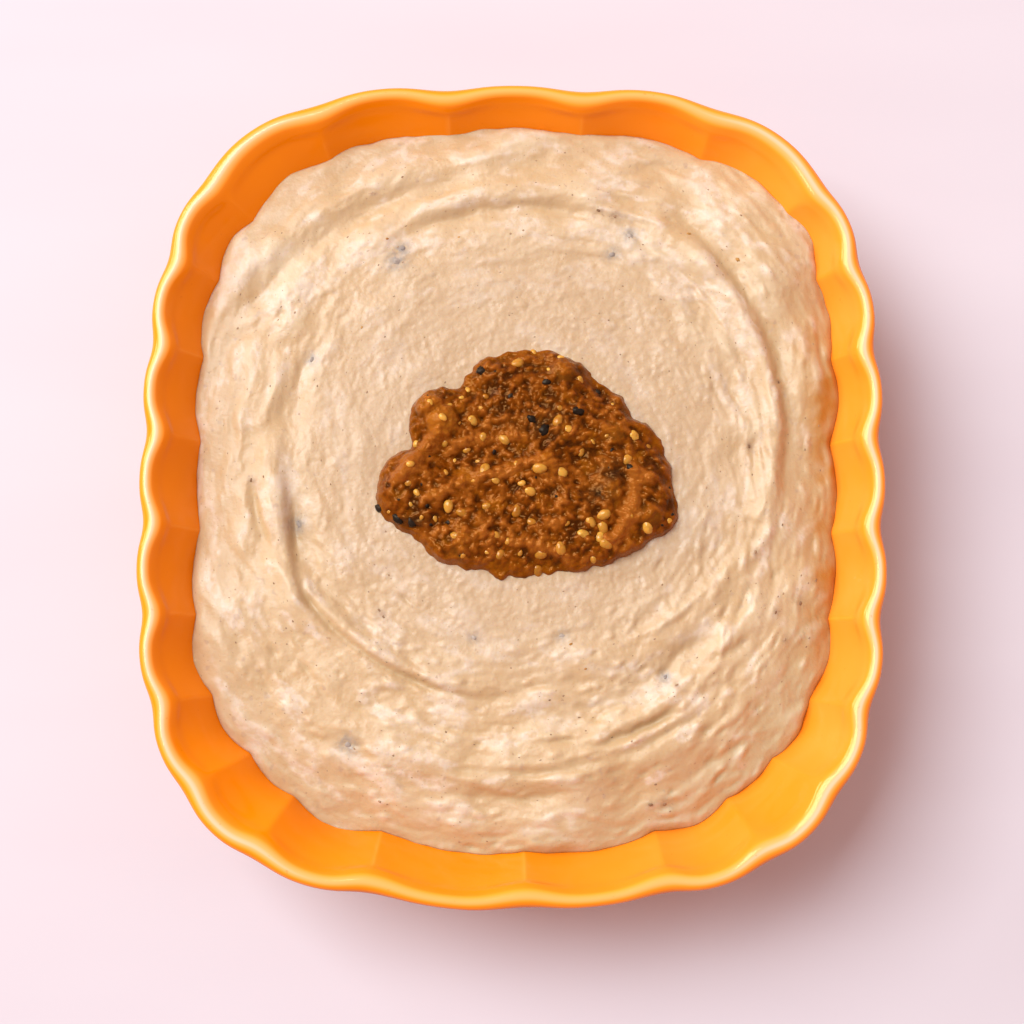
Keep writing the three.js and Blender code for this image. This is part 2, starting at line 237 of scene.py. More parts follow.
# Topping: mounds of pulp (x, y, half width, half length) that run into one another.
MOUNDS = (
    (2.8, -1.9, 27.4, 20.6),
    (4.0, 22.5, 16.6, 10.6),
    (-15.5, 14.3, 9.8, 9.1),
    (-23.0, -2.0, 9.9, 10.4),
    (27.2, 0.2, 11.3, 16.2),
    (33.5, -6.0, 6.6, 6.8),
    (14.9, -11.1, 15.3, 9.7),
    (15.2, 15.2, 13.3, 10.6),
    (-9.3, -11.1, 14.1, 8.7),
)
MOUND_REACH = 1.6
TOPPING_HEIGHT = 5.2
TOPPING_FULL = 1.3
TOPPING_MIDDLE = (3.5, 3.5)
TOPPING_REACH = 60.0
TOPPING_ROUND = 520
TOPPING_RINGS = 120
TOPPING_SINK = 1.2
TOPPING_SWIRL = (9.0, -6.0)
TOPPING_BOX = ((-36, -26), (43, 36))
TOPPING_CROWDING = 1.5  # crowds the topping's rings towards its outline
OUTLINE_STEPS = 600
RAGGEDNESS = 0.045
RAGGEDNESS_WIDE = 0.03
RAGGEDNESS_FINE = 0.010
TOPPING_DIP = 0.3  # how far the topping's outline lies below the spread's broad surface
RELIEF_FADE = (0, 0.18)
FIBRE_HEIGHT = 0.24
FIBRE_SMEAR = 9.0
PULP_HEIGHT = 0.17
FINE_PULP_HEIGHT = 0.05
WIDE_HEIGHT = 0.4
GRANULE_COUNT = 8500
GRANULE_TURN = (0.3, 0.6)  # mean and spread, in radians
GRANULE_WIDTH = (0.35, 0.9)
GRANULE_STRETCH = (1.0, 1.8)
GRANULE_HEIGHT = (0.3, 0.8)
BAND_STEPS = 15
LUMP_ROUNDNESS = 0.8
PULP_SPAN = 1.3  # from the lowest to the highest of the pulp's relief that the colours tell apart, painting shade in the crevices and light on the tops
PULP_LOWEST = 0.2
LUMP_SPAN = 1.6
RIM_SPAN = (0.05, 0.5)

# Lumps of pulp that stand out of the topping: x, y, radius and height.
PULP_LUMPS = (
    (-16.8, 14.4, 4.3, 2.6), (-20.3, 19.0, 3.7, 2.3), (8.5, 3.5, 3.4, 0.9), (24.0, -2.0, 3.0, 0.9),
    (12.0, 27.0, 3.4, 0.9), (-13.0, -17.0, 3.0, 0.9), (33.0, -8.0, 3.2, 1.0), (24.0, 12.0, 3.4, 1.0),
)
# Raised bands of pulp: end, middle, end, each in plan, then half width and height.
PULP_BANDS = (
    ((-18.1, 10.7), (-22.5, 6.8), (-26.4, 1.4), 1.6, 1.8),
    ((29.2, 2.6), (30.0, -8.0), (23.6, -14.0), 1.5, 1.6),
    ((-14.0, 8.6), (-4.0, 12.0), (3.0, 11.0), 1.2, 0.8),
    ((-20.0, -4.0), (-8.0, 2.0), (8.0, 5.0), 1.3, 0.7),
    ((-18.0, -11.0), (-2.0, -13.0), (13.0, -17.5), 1.2, 0.7),
)
# Burnt patches in the pulp: x, y, half width, half length.
BURNT = ((6.8, 14.0, 5.2, 2.8), (24.0, 2.6, 3.2, 2.8), (20.5, -3.0, 3.6, 2.0), (-24.5, -9.6, 4.2, 1.4))

# Aubergine seeds that show best, then the rest by chance.
SEED_PLACES = (
    (1.1, 29.2), (-2.0, 10.2), (-9.6, 14.7), (10.8, 14.6), (13.2, 12.6), (27.5, 5.6), (29.2, 11.2),
    (6.5, 2.8), (-6.7, 2.8), (11.6, 2.4), (4.3, -2.6), (1.1, -7.0), (-15.2, -6.2), (-12.0, -7.7),
    (4.8, -9.7), (-2.8, -17.3), (6.7, -17.3), (6.2, -21.0), (32.2, -10.9), (-13.7, -13.1),
    (18.8, -9.7), (21.6, -10.9), (16.9, -12.6), (20.9, -13.0), (22.4, -15.0), (11.6, -16.0), (21.8, -8.0),
)
SEED_LENGTH = (1.4, 1.85)  # half lengths, here and below
SEED_SHAPE = (1.0, 0.71, 0.5)
SEED_TAPER = (0.16, 0.2)
SMALL_SEED_COUNT = 46
SMALL_SEED_LENGTH = (0.6, 1.2)
SEED_SPACING = 2.6
SEED_DETAIL = (14, 8)
# Flecks of burnt skin that show best: x, y and half length.
CHAR_PLACES = (
    (15.7, 16.9, 1.6), (8.1, 24.2, 1.1), (-7.7, 27.2, 1.5), (-0.6, 20.8, 0.9), (20.5, 22.3, 0.9),
    (-32.0, -6.2, 1.4), (-15.2, -9.9, 0.9), (-20.3, -6.0, 0.9), (-4.5, 7.3, 0.8), (7.6, 12.6, 1.8),
    (4.6, 15.0, 1.4), (28.0, 3.6, 1.0), (-27.4, -9.0, 1.4), (-24.0, -10.0, 1.3),
)
CHAR_SHAPE = (1.0, 0.72, 0.55)
CHAR_ROUGHNESS = 0.12
SMALL_CHAR_COUNT = 16
SMALL_CHAR_LENGTH = (0.3, 0.6)
CHAR_SPACING = 2.5
CRUMB_DETAIL = (11, 7)
TOPPING_SPOT = 0.12  # how far inside the topping's outline its bits lie

# Bits in the spread: angle and radius round the swirl, and half length.
GREY_BITS = (
    (124, 56, 1.9), (121, 58, 1.2), (66, 53, 1.4), (64, 59, 1.3), (240, 82, 1.6), (157, 56, 1.2),
    (199, 57, 1.3), (302, 64.5, 1.0), (282, 46, 1.2), (256, 47, 1.1),
)
ORANGE_BITS = (
    (143, 49.5, 0.7), (107, 55, 0.7), (123, 62, 0.6), (284, 48.5, 0.8), (286, 55, 0.7), (42, 70.5, 1.1),
    (53, 67, 1.0),
)
DARK_BITS = (
    (292, 91, 1.0), (290, 90, 0.8), (331, 76, 1.1), (327, 72, 0.7), (1, 54.5, 0.9), (15, 64, 0.6),
    (48, 50, 0.5), (57, 38, 0.4), (229, 52, 0.8), (231, 52.5, 0.7), (187, 66, 0.7), (303, 67.5, 0.6),
    (336, 61, 0.6), (324, 77.5, 0.6), (336, 77, 0.8), (69, 62, 1.0), (73, 62, 0.8),
)
BIT_WIDTH = 0.68
BIT_TURN = 0.5  # how far a bit may be turned from the swirl's direction, in radians
BIT_ROUGHNESS = 0.1
BIT_SINK = 0.6  # how deep a bit lies in the spread, in its half heights
BIT_SHOWN = 0.7  # how much of a bit's length the spread leaves free
STAIN_REACH = 1.5  # how far a bit stains the spread, in its half lengths
SPECK_COUNT = 700
SPECK_SIZE = (0.13, 0.40)
SPECK_SMALLNESS = 2.2  # how much more often specks are small
SPECK_WIDTH = (0.4, 0.8)
SPECK_HEIGHT = 0.35
SPECK_ROUGHNESS = 0.15
SPECK_SPACING = 0.8
SPECK_BOX = ((-80, -90), (80, 90))
SPECK_DETAIL = (6, 3)
SPECK_EDGE = 0.99
SPECK_GAP = -0.1  # how far outside the topping's outline the specks lie
BURIED = 0.5  # how deep the other bits lie in what carries them, in their half heights
LEAN_SHARE = 0.8  # how much of the slope under it a bit follows
SLOPE_STEP = 0.6

NOISE_SPAN = 256.0
NOISE_CELLS = 1024
SWEEP_STEPS = 17
BLUR_SHARE = 0.25  # how much of a bump's width the noise is blurred by
RANDOM_SEED = 20


# Numbers

def smooth(start, end, value):
    """Rises smoothly from 0 to 1 while the value goes from start to end."""
    share = np.clip((value - start) / (end - start), 0.0, 1.0)
    return share * share * (3 - 2 * share)


def blend(first, second, share):
    return first + (second - first) * share


def superellipse(x, y, half_width, half_length, power):
    """1 on the superellipse, less inside it and more outside."""
    return (np.abs(x / half_width) ** power + np.abs(y / half_length) ** power) ** (1 / power)


def noise_field(seed, grain):
    """A square of smooth noise, of unit spread, whose bumps are about that many millimetres wide."""
    white = np.random.default_rng(seed).standard_normal((NOISE_CELLS, NOISE_CELLS))
    rate = np.fft.fftfreq(NOISE_CELLS, NOISE_SPAN / NOISE_CELLS)
    square = rate[:, None] ** 2 + rate[None, :] ** 2
    damping = np.exp(-2 * (math.pi * grain * BLUR_SHARE) ** 2 * square)
    field = np.fft.ifft2(np.fft.fft2(white) * damping).real
    return field / field.std()


def sample(field, x, y):
    """The noise at those places, which repeats past the edges of its square."""
    u = np.mod(x / NOISE_SPAN, 1.0) * NOISE_CELLS
    v = np.mod(y / NOISE_SPAN, 1.0) * NOISE_CELLS
    column = np.floor(u).astype(int)
    row = np.floor(v).astype(int)
    right = (column + 1) % NOISE_CELLS
    above = (row + 1) % NOISE_CELLS
    across = u - column
    up = v - row
    column %= NOISE_CELLS
    row %= NOISE_CELLS
    low = blend(field[row, column], field[row, right], across)
    high = blend(field[above, column], field[above, right], across)
    return blend(low, high, up)


def swept(field, x, y, length, centre):
    """The noise smeared along circles round the centre, over that many millimetres."""
    dx = x - centre[0]
    dy = y - centre[1]
    radius = np.maximum(np.hypot(dx, dy), SWIRL_CORE)
    total = np.zeros_like(dx)
    for share in np.linspace(-0.5, 0.5, SWEEP_STEPS):
        turn = share * length / radius
        c = np.cos(turn)
        s = np.sin(turn)
        total += sample(field, centre[0] + c * dx - s * dy, centre[1] + s * dx + c * dy)
    return total / SWEEP_STEPS


def stamped(lumps, power):
    """A square of round lumps: x, y, turn, half length, half width and height of each; the highest wins."""
    field = np.zeros((NOISE_CELLS, NOISE_CELLS))
    cell = NOISE_SPAN / NOISE_CELLS
    for x, y, turn, half_length, half_width, height in lumps:
        reach = math.ceil(half_length / cell) + 1
        columns = round(x / cell) + np.arange(-reach, reach + 1)
        rows = round(y / cell) + np.arange(-reach, reach + 1)
        dx = columns[None, :] * cell - x
        dy = rows[:, None] * cell - y
        along = dx * math.cos(turn) + dy * math.sin(turn)
        across = dy * math.cos(turn) - dx * math.sin(turn)
        square = (along / half_length) ** 2 + (across / half_width) ** 2
        part = np.ix_(rows % NOISE_CELLS, columns % NOISE_CELLS)
        field[part] = np.maximum(field[part], height * np.clip(1 - square, 0, 1) ** power)
    return field


def swirl_place(angle, radius):
    """Plan position at that angle, in degrees, and radius round the swirl's centre."""
    turn = math.radians(angle)
    return SWIRL_CENTRE[0] + radius * math.cos(turn), SWIRL_CENTRE[1] + radius * math.sin(turn)


def swirl_radius(x, y):
    return np.hypot(x - SWIRL_CENTRE[0], y - SWIRL_CENTRE[1])


# Rim and dish

def lobe_widths(rim_length):
    end = rim_length / 2 - SIDE_STRETCH
    side = [SIDE_STRETCH / SIDE_LOBES] * SIDE_LOBES
    far = [end / FAR_LOBES] * FAR_LOBES
    near = [share * end for share in NEAR_LOBE_SHARES]
    return np.array(side + far + side + near)


def rim_stations(count):
    """Points evenly round the rim, anticlockwise: place, outward normal, corner share and flutes."""
    angle = np.linspace(0, 2 * math.pi, RIM_STEPS + 1)
    c = np.cos(angle)
    s = np.sin(angle)
    reach = 1 / superellipse(c, s, RIM_HALF_WIDTH, RIM_HALF_LENGTH, RIM_SQUARENESS)
    line = np.stack([c * reach, s * reach], axis=1)
    line[:, 1] -= NEAR_BULGE * np.exp(-(line[:, 0] / NEAR_BULGE_REACH) ** 2) * (line[:, 1] < 0)
    steps = np.linalg.norm(np.diff(line, axis=0), axis=1)
    length = np.concatenate([[0.0], np.cumsum(steps)])
    whole = length[-1]
    start = -SIDE_STRETCH / 2
    at = start + whole * np.arange(count) / count
    wrapped = np.mod(at, whole)
    point = np.stack([np.interp(wrapped, length, line[:, axis]) for axis in (0, 1)], axis=1)
    along = np.roll(point, -1, axis=0) - np.roll(point, 1, axis=0)
    along /= np.linalg.norm(along, axis=1, keepdims=True)
    normal = np.stack([along[:, 1], -along[:, 0]], axis=1)
    corner = np.abs(2 * normal[:, 0] * normal[:, 1]) ** 2
    widths = lobe_widths(whole)
    edges = start + np.concatenate([[0.0], np.cumsum(widths)])
    lobe = np.clip(np.searchsorted(edges, at, side="right") - 1, 0, len(widths) - 1)
    phase = 2 * math.pi * (at - edges[lobe]) / widths[lobe]
    wave = (-np.cos(phase) - VALLEY_SHARPNESS * np.cos(2 * phase)) * (1 - FLUTE_CORNER_LOSS * corner)
    arch = np.sqrt(np.sin(phase / 2) ** 2 + CUSP_ROUNDING ** 2)
    scallop = (2 * arch - 1) * (1 - SCOOP_CORNER_LOSS * corner)
    return {"point": point, "normal": normal, "corner": corner, "wave": wave, "scallop": scallop}


def wall_inset(depth):
    """How far in from the rim's line the wall's inside is; it leaves the lip's round in line with it."""
    run = depth - LIP_RADIUS
    return WALL_START + WALL_LEAN * run - WALL_STRAIGHTENING * np.maximum(run, 0.0) ** 2


def inside_flute(depth):
    return blend(FLUTE_INSIDE, FLUTE_SCOOP, smooth(LIP_RADIUS, SCOOP_DEPTH, depth))


def outside_flute(depth):
    own = FLUTE_OUTSIDE * (1 - (depth / DISH_HEIGHT) ** 2)
    return blend(FLUTE_AT_LIP, own, smooth(LIP_RADIUS, LIP_BLEND, depth))


def profile_arc(inset, height, radius, start, end, steps):
    angle = np.radians(np.linspace(start, end, steps))
    return np.stack([inset + radius * np.cos(angle), height + radius * np.sin(angle)], axis=1)


def inside_cusp(depth):
    return smooth(LIP_RADIUS, LIP_RADIUS + CUSP_RUN, depth)


def filled_up(rows, width):
    """The rows with columns of zeros added up to that width."""
    return np.pad(rows, ((0, 0), (0, width - rows.shape[1])))


def dish_profile():
    """Rows of inset, height, flute and cusp: the foot, the outside, the lip and the inside to the floor."""
    outer = np.linspace(FOOT_TOP, LIP_RADIUS + OUTSIDE_START, OUTSIDE_STEPS)
    thickness = blend(WALL_START, WALL_THICKNESS, smooth(LIP_RADIUS, LIP_BLEND, outer))
    outside = np.stack([wall_inset(outer) - thickness, DISH_HEIGHT - outer, outside_flute(outer)], axis=1)
    foot = profile_arc(outside[0, 0] + FOOT_RADIUS, FOOT_RADIUS, FOOT_RADIUS, *FOOT_ARC, FOOT_STEPS)
    lean = math.degrees(math.atan(WALL_LEAN))
    lip = profile_arc(LIP_RADIUS, DISH_HEIGHT - LIP_RADIUS, LIP_RADIUS, 180, lean, LIP_STEPS)
    lip_flute = np.linspace(FLUTE_AT_LIP, inside_flute(LIP_RADIUS), LIP_STEPS)
    lip = np.column_stack([lip, lip_flute])
    inner = blend(LIP_RADIUS, FILLET_TOP, np.linspace(0, 1, INSIDE_STEPS) ** INSIDE_CROWDING)
    inside = [wall_inset(inner), DISH_HEIGHT - inner, inside_flute(inner), inside_cusp(inner)]
    inside = np.stack(inside, axis=1)
    centre = (inside[-1, 0] + FLOOR_FILLET, FLOOR_THICKNESS + FLOOR_FILLET)
    fillet = profile_arc(*centre, FLOOR_FILLET, *FILLET_ARC, FILLET_STEPS)
    columns = inside.shape[1]
    return np.vstack([filled_up(rows, columns) for rows in (foot, outside, lip, inside, fillet)])


def wall_place(stations, inset, flute, cusp):
    """Plan positions on the wall at the stations, for that inset from the rim's line, flute and cusp."""
    deeper = inset + CORNER_EXTRA * stations["corner"] * smooth(0, CORNER_RUN, inset)
    out = blend(stations["wave"], stations["scallop"], cusp) * flute - deeper
    return stations["point"] + stations["normal"] * out[:, None]


def inside_place(stations, depth, further=0.0):
    """Plan positions on the wall's inside at those depths below the rim, or further in than the wall."""
    return wall_place(stations, wall_inset(depth) + further, inside_flute(depth), inside_cusp(depth))


def closed_skin(rings, first, last):
    """Points and faces of a skin from a first point, through rings of equal length, to a last point."""
    rows, columns = rings.shape[:2]
    points = np.vstack([[first], rings.reshape(-1, 3), [last]])
    here = np.arange(columns)
    after = (here + 1) % columns
    faces = []
    for row in range(rows - 1):
        low = 1 + row * columns
        high = low + columns
        faces.extend(np.stack([low + here, low + after, high + after, high + here], axis=1).tolist())
    top = 1 + (rows - 1) * columns
    end = np.full(columns, len(points) - 1)
    faces.extend(np.stack([np.zeros(columns, dtype=int), 1 + after, 1 + here], axis=1).tolist())
    faces.extend(np.stack([end, top + here, top + after], axis=1).tolist())
    return points, faces


def dish_skin():
    """The dish, with where its glaze is paler on the crest and ridges (thinner glaze with a painted
    highlight and reflection), where painted shade darkens the lip's outside, and where the glaze is painted
    paler on the lit side.
    """
    stations = rim_stations(DISH_ROUND)
    rows = dish_profile()
    crest_row = rows[:, 1].argmax()
    rings = []
    thin_glaze_and_painted_light = []
    lee_shade = []
    for row, (inset, height, flute, cusp) in enumerate(rows):
        place = wall_place(stations, np.full(DISH_ROUND, inset), flute, cusp)
        rings.append(np.column_stack([place, np.full(DISH_ROUND, height)]))
        across = place[:, 0] / RIM_HALF_WIDTH
        down = (DISH_HEIGHT - height) / LIP_RADIUS
        # The crest is paler: thinner glaze with a painted highlight.
        narrowness = CREST_INSIDE if inset > LIP_RADIUS else CREST_OUTSIDE
        crest = np.clip(1 - down, 0, 1) ** narrowness
        crest = crest * blend(CREST_AT_ENDS, 1.0, smooth(*CREST_ENDS, np.abs(across)))
        # Ridges: thinner glaze with a painted reflection.
        ridge = cusp * np.exp(-((stations["scallop"] + 1) / RIDGE_PALENESS_REACH) ** 2)
        thin_glaze_and_painted_light.append(np.clip(crest + RIDGE_THIN_GLAZE_AND_REFLECTION * ridge, 0, 1))
        # Painted shade under the lip's outside on the right and near sides.
        side = smooth(*LEE_SHADE_SIDE, across - place[:, 1] / RIM_HALF_LENGTH)
        lee_shade.append((row < crest_row) * smooth(*LEE_SHADE_TOP, down) * (1 - smooth(*LEE_SHADE_END, down)) * side)
    rings = np.array(rings)
    first = (0.0, 0.0, rings[0, 0, 2])
    last = (0.0, 0.0, rings[-1, 0, 2])
    points, faces = closed_skin(rings, first, last)
    # Painted light: the glaze is paler towards the lit right side.
    run = smooth(*LIT_SIDE_SPAN, points[:, 0] / RIM_HALF_WIDTH)
    thin_glaze_and_painted_light = np.concatenate([[0.0], np.ravel(thin_glaze_and_painted_light), [0.0]])
    lee_shade = np.concatenate([[0.0], np.ravel(lee_shade), [0.0]])
    return points, faces, {"thin_glaze_and_painted_light": thin_glaze_and_painted_light, "lee_shade": lee_shade, "run": run}


# Spread

def stroke_heights(strokes, x, y):
    """What the spoon's strokes add to the surface."""
    dx = x - SWIRL_CENTRE[0]
    dy = y - SWIRL_CENTRE[1]
    radius = np.hypot(dx, dy)
    angle = np.degrees(np.arctan2(dy, dx))
    total = np.zeros_like(radius)
    for start, end, inner, outer, height, width, fade in strokes:
        turn = np.mod(angle - (start + end) / 2 + 180, 360) - 180
        past = np.abs(turn) - abs(end - start) / 2
        line = blend(inner, outer, np.clip(0.5 + turn / (end - start), 0, 1))
        across = (radius - line) / width
        total += height * np.exp(-across * across) * (1 - smooth(0, fade, past))
    return total


def edge_level(x, y):
    """How much higher the spread stands at the wall."""
    angle = np.degrees(np.arctan2(y, x))
    total = np.zeros_like(angle)
    for middle, half_span, height in EDGE_SWELLS:
        away = np.abs(np.mod(angle - middle + 180, 360) - 180)
        total += height * (1 - smooth(0, half_span, away))
    return total


def spread_share(x, y):
    """How far out a place is: 1 at the spread's usual edge."""
    return superellipse(x, y, SPREAD_HALF_WIDTH, SPREAD_HALF_LENGTH, SPREAD_SQUARENESS)


def spread_base(x, y):
    """The spread's surface with the broad strokes only."""
    out = spread_share(x, y)
    roll = np.clip((out - EDGE_ROLL_START) / (1 - EDGE_ROLL_START), 0, EDGE_ROLL_LIMIT)
    drop = blend(EDGE_DROP, EDGE_DROP_FAR, smooth(*FAR_SHARE, y / SPREAD_HALF_LENGTH))
    level = SPREAD_LEVEL + SPREAD_TILT[0] * x + SPREAD_TILT[1] * y
    level = level + stroke_heights(BROAD_STROKES, x, y) - drop * roll * roll
    return level + edge_level(x, y) * smooth(0, 1, roll)


def pit_depths(x, y):
    """What the small hollows take from the surface."""
    total = np.zeros_like(x)
    for angle, radius, length, width, depth in PITS:
        px, py = swirl_place(angle, radius)
        turn = math.radians(angle)
        out = (x - px) * math.cos(turn) + (y - py) * math.sin(turn)
        along = (y - py) * math.cos(turn) - (x - px) * math.sin(turn)
        total -= depth * np.exp(-(along / length) ** 2 - (out / width) ** 2)
    return total


STREAKS = noise_field(RANDOM_SEED + 1, grain=2.8)
STREAKS_FINE = noise_field(RANDOM_SEED + 22, grain=1.7)
LUMPS = noise_field(RANDOM_SEED + 3, grain=5.5)
SWELLS = noise_field(RANDOM_SEED + 4, grain=13.0)
GRAIN = noise_field(RANDOM_SEED + 5, grain=1.4)
BEND = noise_field(RANDOM_SEED + 2, grain=16.0)
BLOTCHES = noise_field(RANDOM_SEED + 21, grain=6.0)
FLECKS = noise_field(RANDOM_SEED + 26, grain=2.4)


def curds(count, widths, stretches, heights, seed):
    """Small lumps by chance along the swirl; stretches and heights are in widths."""
    rng = np.random.default_rng(seed)
    x = rng.uniform(-CURD_REACH[0], CURD_REACH[0], count)
    y = rng.uniform(-CURD_REACH[1], CURD_REACH[1], count)
    tangent = np.arctan2(y - SWIRL_CENTRE[1], x - SWIRL_CENTRE[0]) + math.pi / 2
    turn = tangent + rng.normal(CURD_SLANT, CURD_UNEVENNESS, count)
    half_width = rng.uniform(*widths, count)
    half_length = half_width * rng.uniform(*stretches, count)
    height = half_width * rng.uniform(*heights, count)
    return np.stack([x, y, turn, half_length, half_width, height], axis=1)


CURDS = stamped(curds(count=1700, widths=(0.5, 1.35), stretches=(1.2, 2.8), heights=(0.22, 0.52),
                      seed=RANDOM_SEED + 23), power=1.4)
CRUMBS = stamped(curds(count=2200, widths=(0.4, 1.0), stretches=(1.0, 1.6), heights=(0.2, 0.5),
                       seed=RANDOM_SEED + 25), power=1.4)
HOLLOWS = stamped(curds(count=260, widths=(0.5, 1.1), stretches=(1.0, 2.6), heights=(0.3, 0.8),
                        seed=RANDOM_SEED + 24), power=1.5)


def spread_detail(x, y):
    """The spread's finer relief: streaks along the swirl, soft and small lumps, thin strokes and pits."""
    outer = smooth(*RELIEF_REACH, swirl_radius(x, y))
    rough = smooth(*ROUGH_SPAN, ROUGH_WAY[0] * x + ROUGH_WAY[1] * y)
    streaky = blend(*STREAKS_BY_REACH, outer) * blend(*STREAKS_BY_ROUGHNESS, rough)
    lumpy = blend(*LUMPS_BY_REACH, outer)
    curdled = lumpy * blend(*CURDS_BY_ROUGHNESS, rough)
    bent_x = x + BEND_AMOUNT * sample(BEND, x, y)
    bent_y = y + BEND_AMOUNT * sample(BEND, y + NOISE_SPAN / 2, x)
    fine = swept(STREAKS_FINE, bent_x, bent_y, FINE_STREAK_SMEAR, SWIRL_CENTRE)
    relief = STREAK_HEIGHT * streaky * swept(STREAKS, bent_x, bent_y, STREAK_SMEAR, SWIRL_CENTRE)
    relief += FINE_STREAK_HEIGHT * streaky * fine
    relief += LUMP_HEIGHT * lumpy * swept(LUMPS, bent_x, bent_y, LUMP_SMEAR, SWIRL_CENTRE)
    relief += SWELL_HEIGHT * lumpy * sample(SWELLS, x, y)
    relief += GRAIN_HEIGHT * sample(GRAIN, x, y)
    relief += curdled * (sample(CURDS, x, y) - sample(HOLLOWS, x, y))
    relief += CRUMB_SHARE * lumpy * sample(CRUMBS, x, y)
    return relief + stroke_heights(FINE_STROKES, x, y) + pit_depths(x, y)


def spread_height(x, y):
    return spread_base(x, y) + spread_detail(x, y)


def stains(bits, x, y):
    """How much the bits of skin have stained the spread round them."""
    total = np.zeros_like(x)
    for angle, radius, length in bits:
        px, py = swirl_place(angle, radius)
        reach = STAIN_REACH * length
        total += np.exp(-((x - px) ** 2 + (y - py) ** 2) / reach ** 2)
    return np.clip(total, 0, 1)


def spread_outline(stations):
    """Where the spread meets the wall: plan positions and depths below the rim."""
    depth = np.full(len(stations["wave"]), EDGE_DEPTH)
    for _ in range(EDGE_ROUNDS):
        level = spread_base(*inside_place(stations, depth).T)
        depth = blend(depth, np.clip(DISH_HEIGHT - level, *EDGE_DEPTHS), EDGE_STEP)
    x, y = inside_place(stations, depth).T
    depth = depth + EDGE_ROUNDING + EDGE_WAVE * sample(SWELLS, x, y) + EDGE_RIPPLE * sample(LUMPS, x, y)
    return inside_place(stations, depth, -EDGE_OVERLAP), depth


def spread_sides(stations, depth):
    """Rings from the spread's underside up along the wall, ending just below its edge."""
    floor = FLOOR_THICKNESS + GAP
    rings = []
    for share in np.linspace(1, SIDE_TOP, SIDE_RINGS):
        down = blend(depth, DISH_HEIGHT - floor - FLOOR_FILLET, share)
        rings.append(np.column_stack([inside_place(stations, down, GAP), DISH_HEIGHT - down]))
    bottom = rings[0].copy()
    bottom[:, :2] *= UNDERSIDE_SHARE
    bottom[:, 2] = floor
    return [bottom] + rings


def spread_looks(x, y):
    """What the spread's material uses at each point: its relief, tints and stains; some of them are painted
    light and shade.
    """
    detail = spread_detail(x, y)
    out = spread_share(x, y)
    # Painted against the orange light that the lit glaze bounces onto the spread's edge, on the right and
    # near sides.
    way = BOUNCE_CORRECTION_WAY[0] * x + BOUNCE_CORRECTION_WAY[1] * y
    wall = smooth(*BOUNCE_CORRECTION_EDGE, out) * smooth(*BOUNCE_CORRECTION_SPAN, way)
    film = smooth(*FILM_ACROSS, x) * smooth(*FILM_EDGE, out)
    # Pale blotches, paler on raised relief: partly a painted highlight.
    blotches = BLOTCH_WEIGHT * swept(BLOTCHES, x, y, BLOTCH_SMEAR, SWIRL_CENTRE)
    blotches += FLECK_WEIGHT * swept(FLECKS, x, y, FLECK_SMEAR, SWIRL_CENTRE)
    return {
        "relief": np.clip(0.5 + detail / RELIEF_SPAN, 0, 1),
        "wall": wall * smooth(*BOUNCE_CORRECTION_FAR, y),
        "film": film * smooth(*FILM_NEAR, y) * smooth(*FILM_FAR, y),
        "pale": smooth(*PALE_AND_HIGHLIGHT_SPAN, blotches + HIGHLIGHT_BY_RELIEF * detail),
        # Painted shade on the flat middle.
        "middle": 1 - smooth(*CENTRE_SHADE_SPAN, swirl_radius(x, y)),
        "grey": stains(GREY_BITS, x, y),
        "brown": stains(DARK_BITS, x, y),
    }


def spread_skin():
    """The spread, with what its material uses at each point."""
    stations = rim_stations(SPREAD_ROUND)
    edge, depth = spread_outline(stations)
    share = np.linspace(1, COVERED_SHARE, SPREAD_RINGS)[:, None, None]
    x, y = np.moveaxis(blend(np.array(SPREAD_MIDDLE), edge, share), -1, 0)
    level = spread_height(x, y)
    last = np.clip(1 - (1 - share[..., 0]) / EDGE_ROUND_SHARE, 0, 1)
    level += (DISH_HEIGHT - depth - level[0]) * last * last
    rings = np.concatenate([spread_sides(stations, depth), np.stack([x, y, level], axis=-1)])
    bottom = (0.0, 0.0, FLOOR_THICKNESS + GAP)
    middle = (*SPREAD_MIDDLE, float(rings[-1, :, 2].mean()))
    points, faces = closed_skin(rings, bottom, middle)
    return points, faces, spread_looks(points[:, 0], points[:, 1])


# Topping

RAGGED = noise_field(RANDOM_SEED + 6, grain=3.2)
RAGGED_FINE = noise_field(RANDOM_SEED + 19, grain=1.5)
RAGGED_WIDE = noise_field(RANDOM_SEED + 7, grain=9.0)
FIBRES = noise_field(RANDOM_SEED + 8, grain=2.4)
PULP = noise_field(RANDOM_SEED + 9, grain=2.2)
PULP_FINE = noise_field(RANDOM_SEED + 10, grain=1.0)


def mound_field(x, y):
    """Above 0 inside the mounds' common outline, and below 0 outside it."""
    total = np.zeros_like(x)
    for mx, my, half_width, half_length in MOUNDS:
        square = ((x - mx) / half_width) ** 2 + ((y - my) / half_length) ** 2
        total += np.maximum(0, MOUND_REACH - square) ** 3
    return np.cbrt(total) - (MOUND_REACH - 1)


def ragged_field(x, y):
    """The mounds with an uneven outline."""
    coarse = RAGGEDNESS * sample(RAGGED, x, y) + RAGGEDNESS_WIDE * sample(RAGGED_WIDE, x, y)
    return mound_field(x, y) + coarse + RAGGEDNESS_FINE * sample(RAGGED_FINE, x, y)


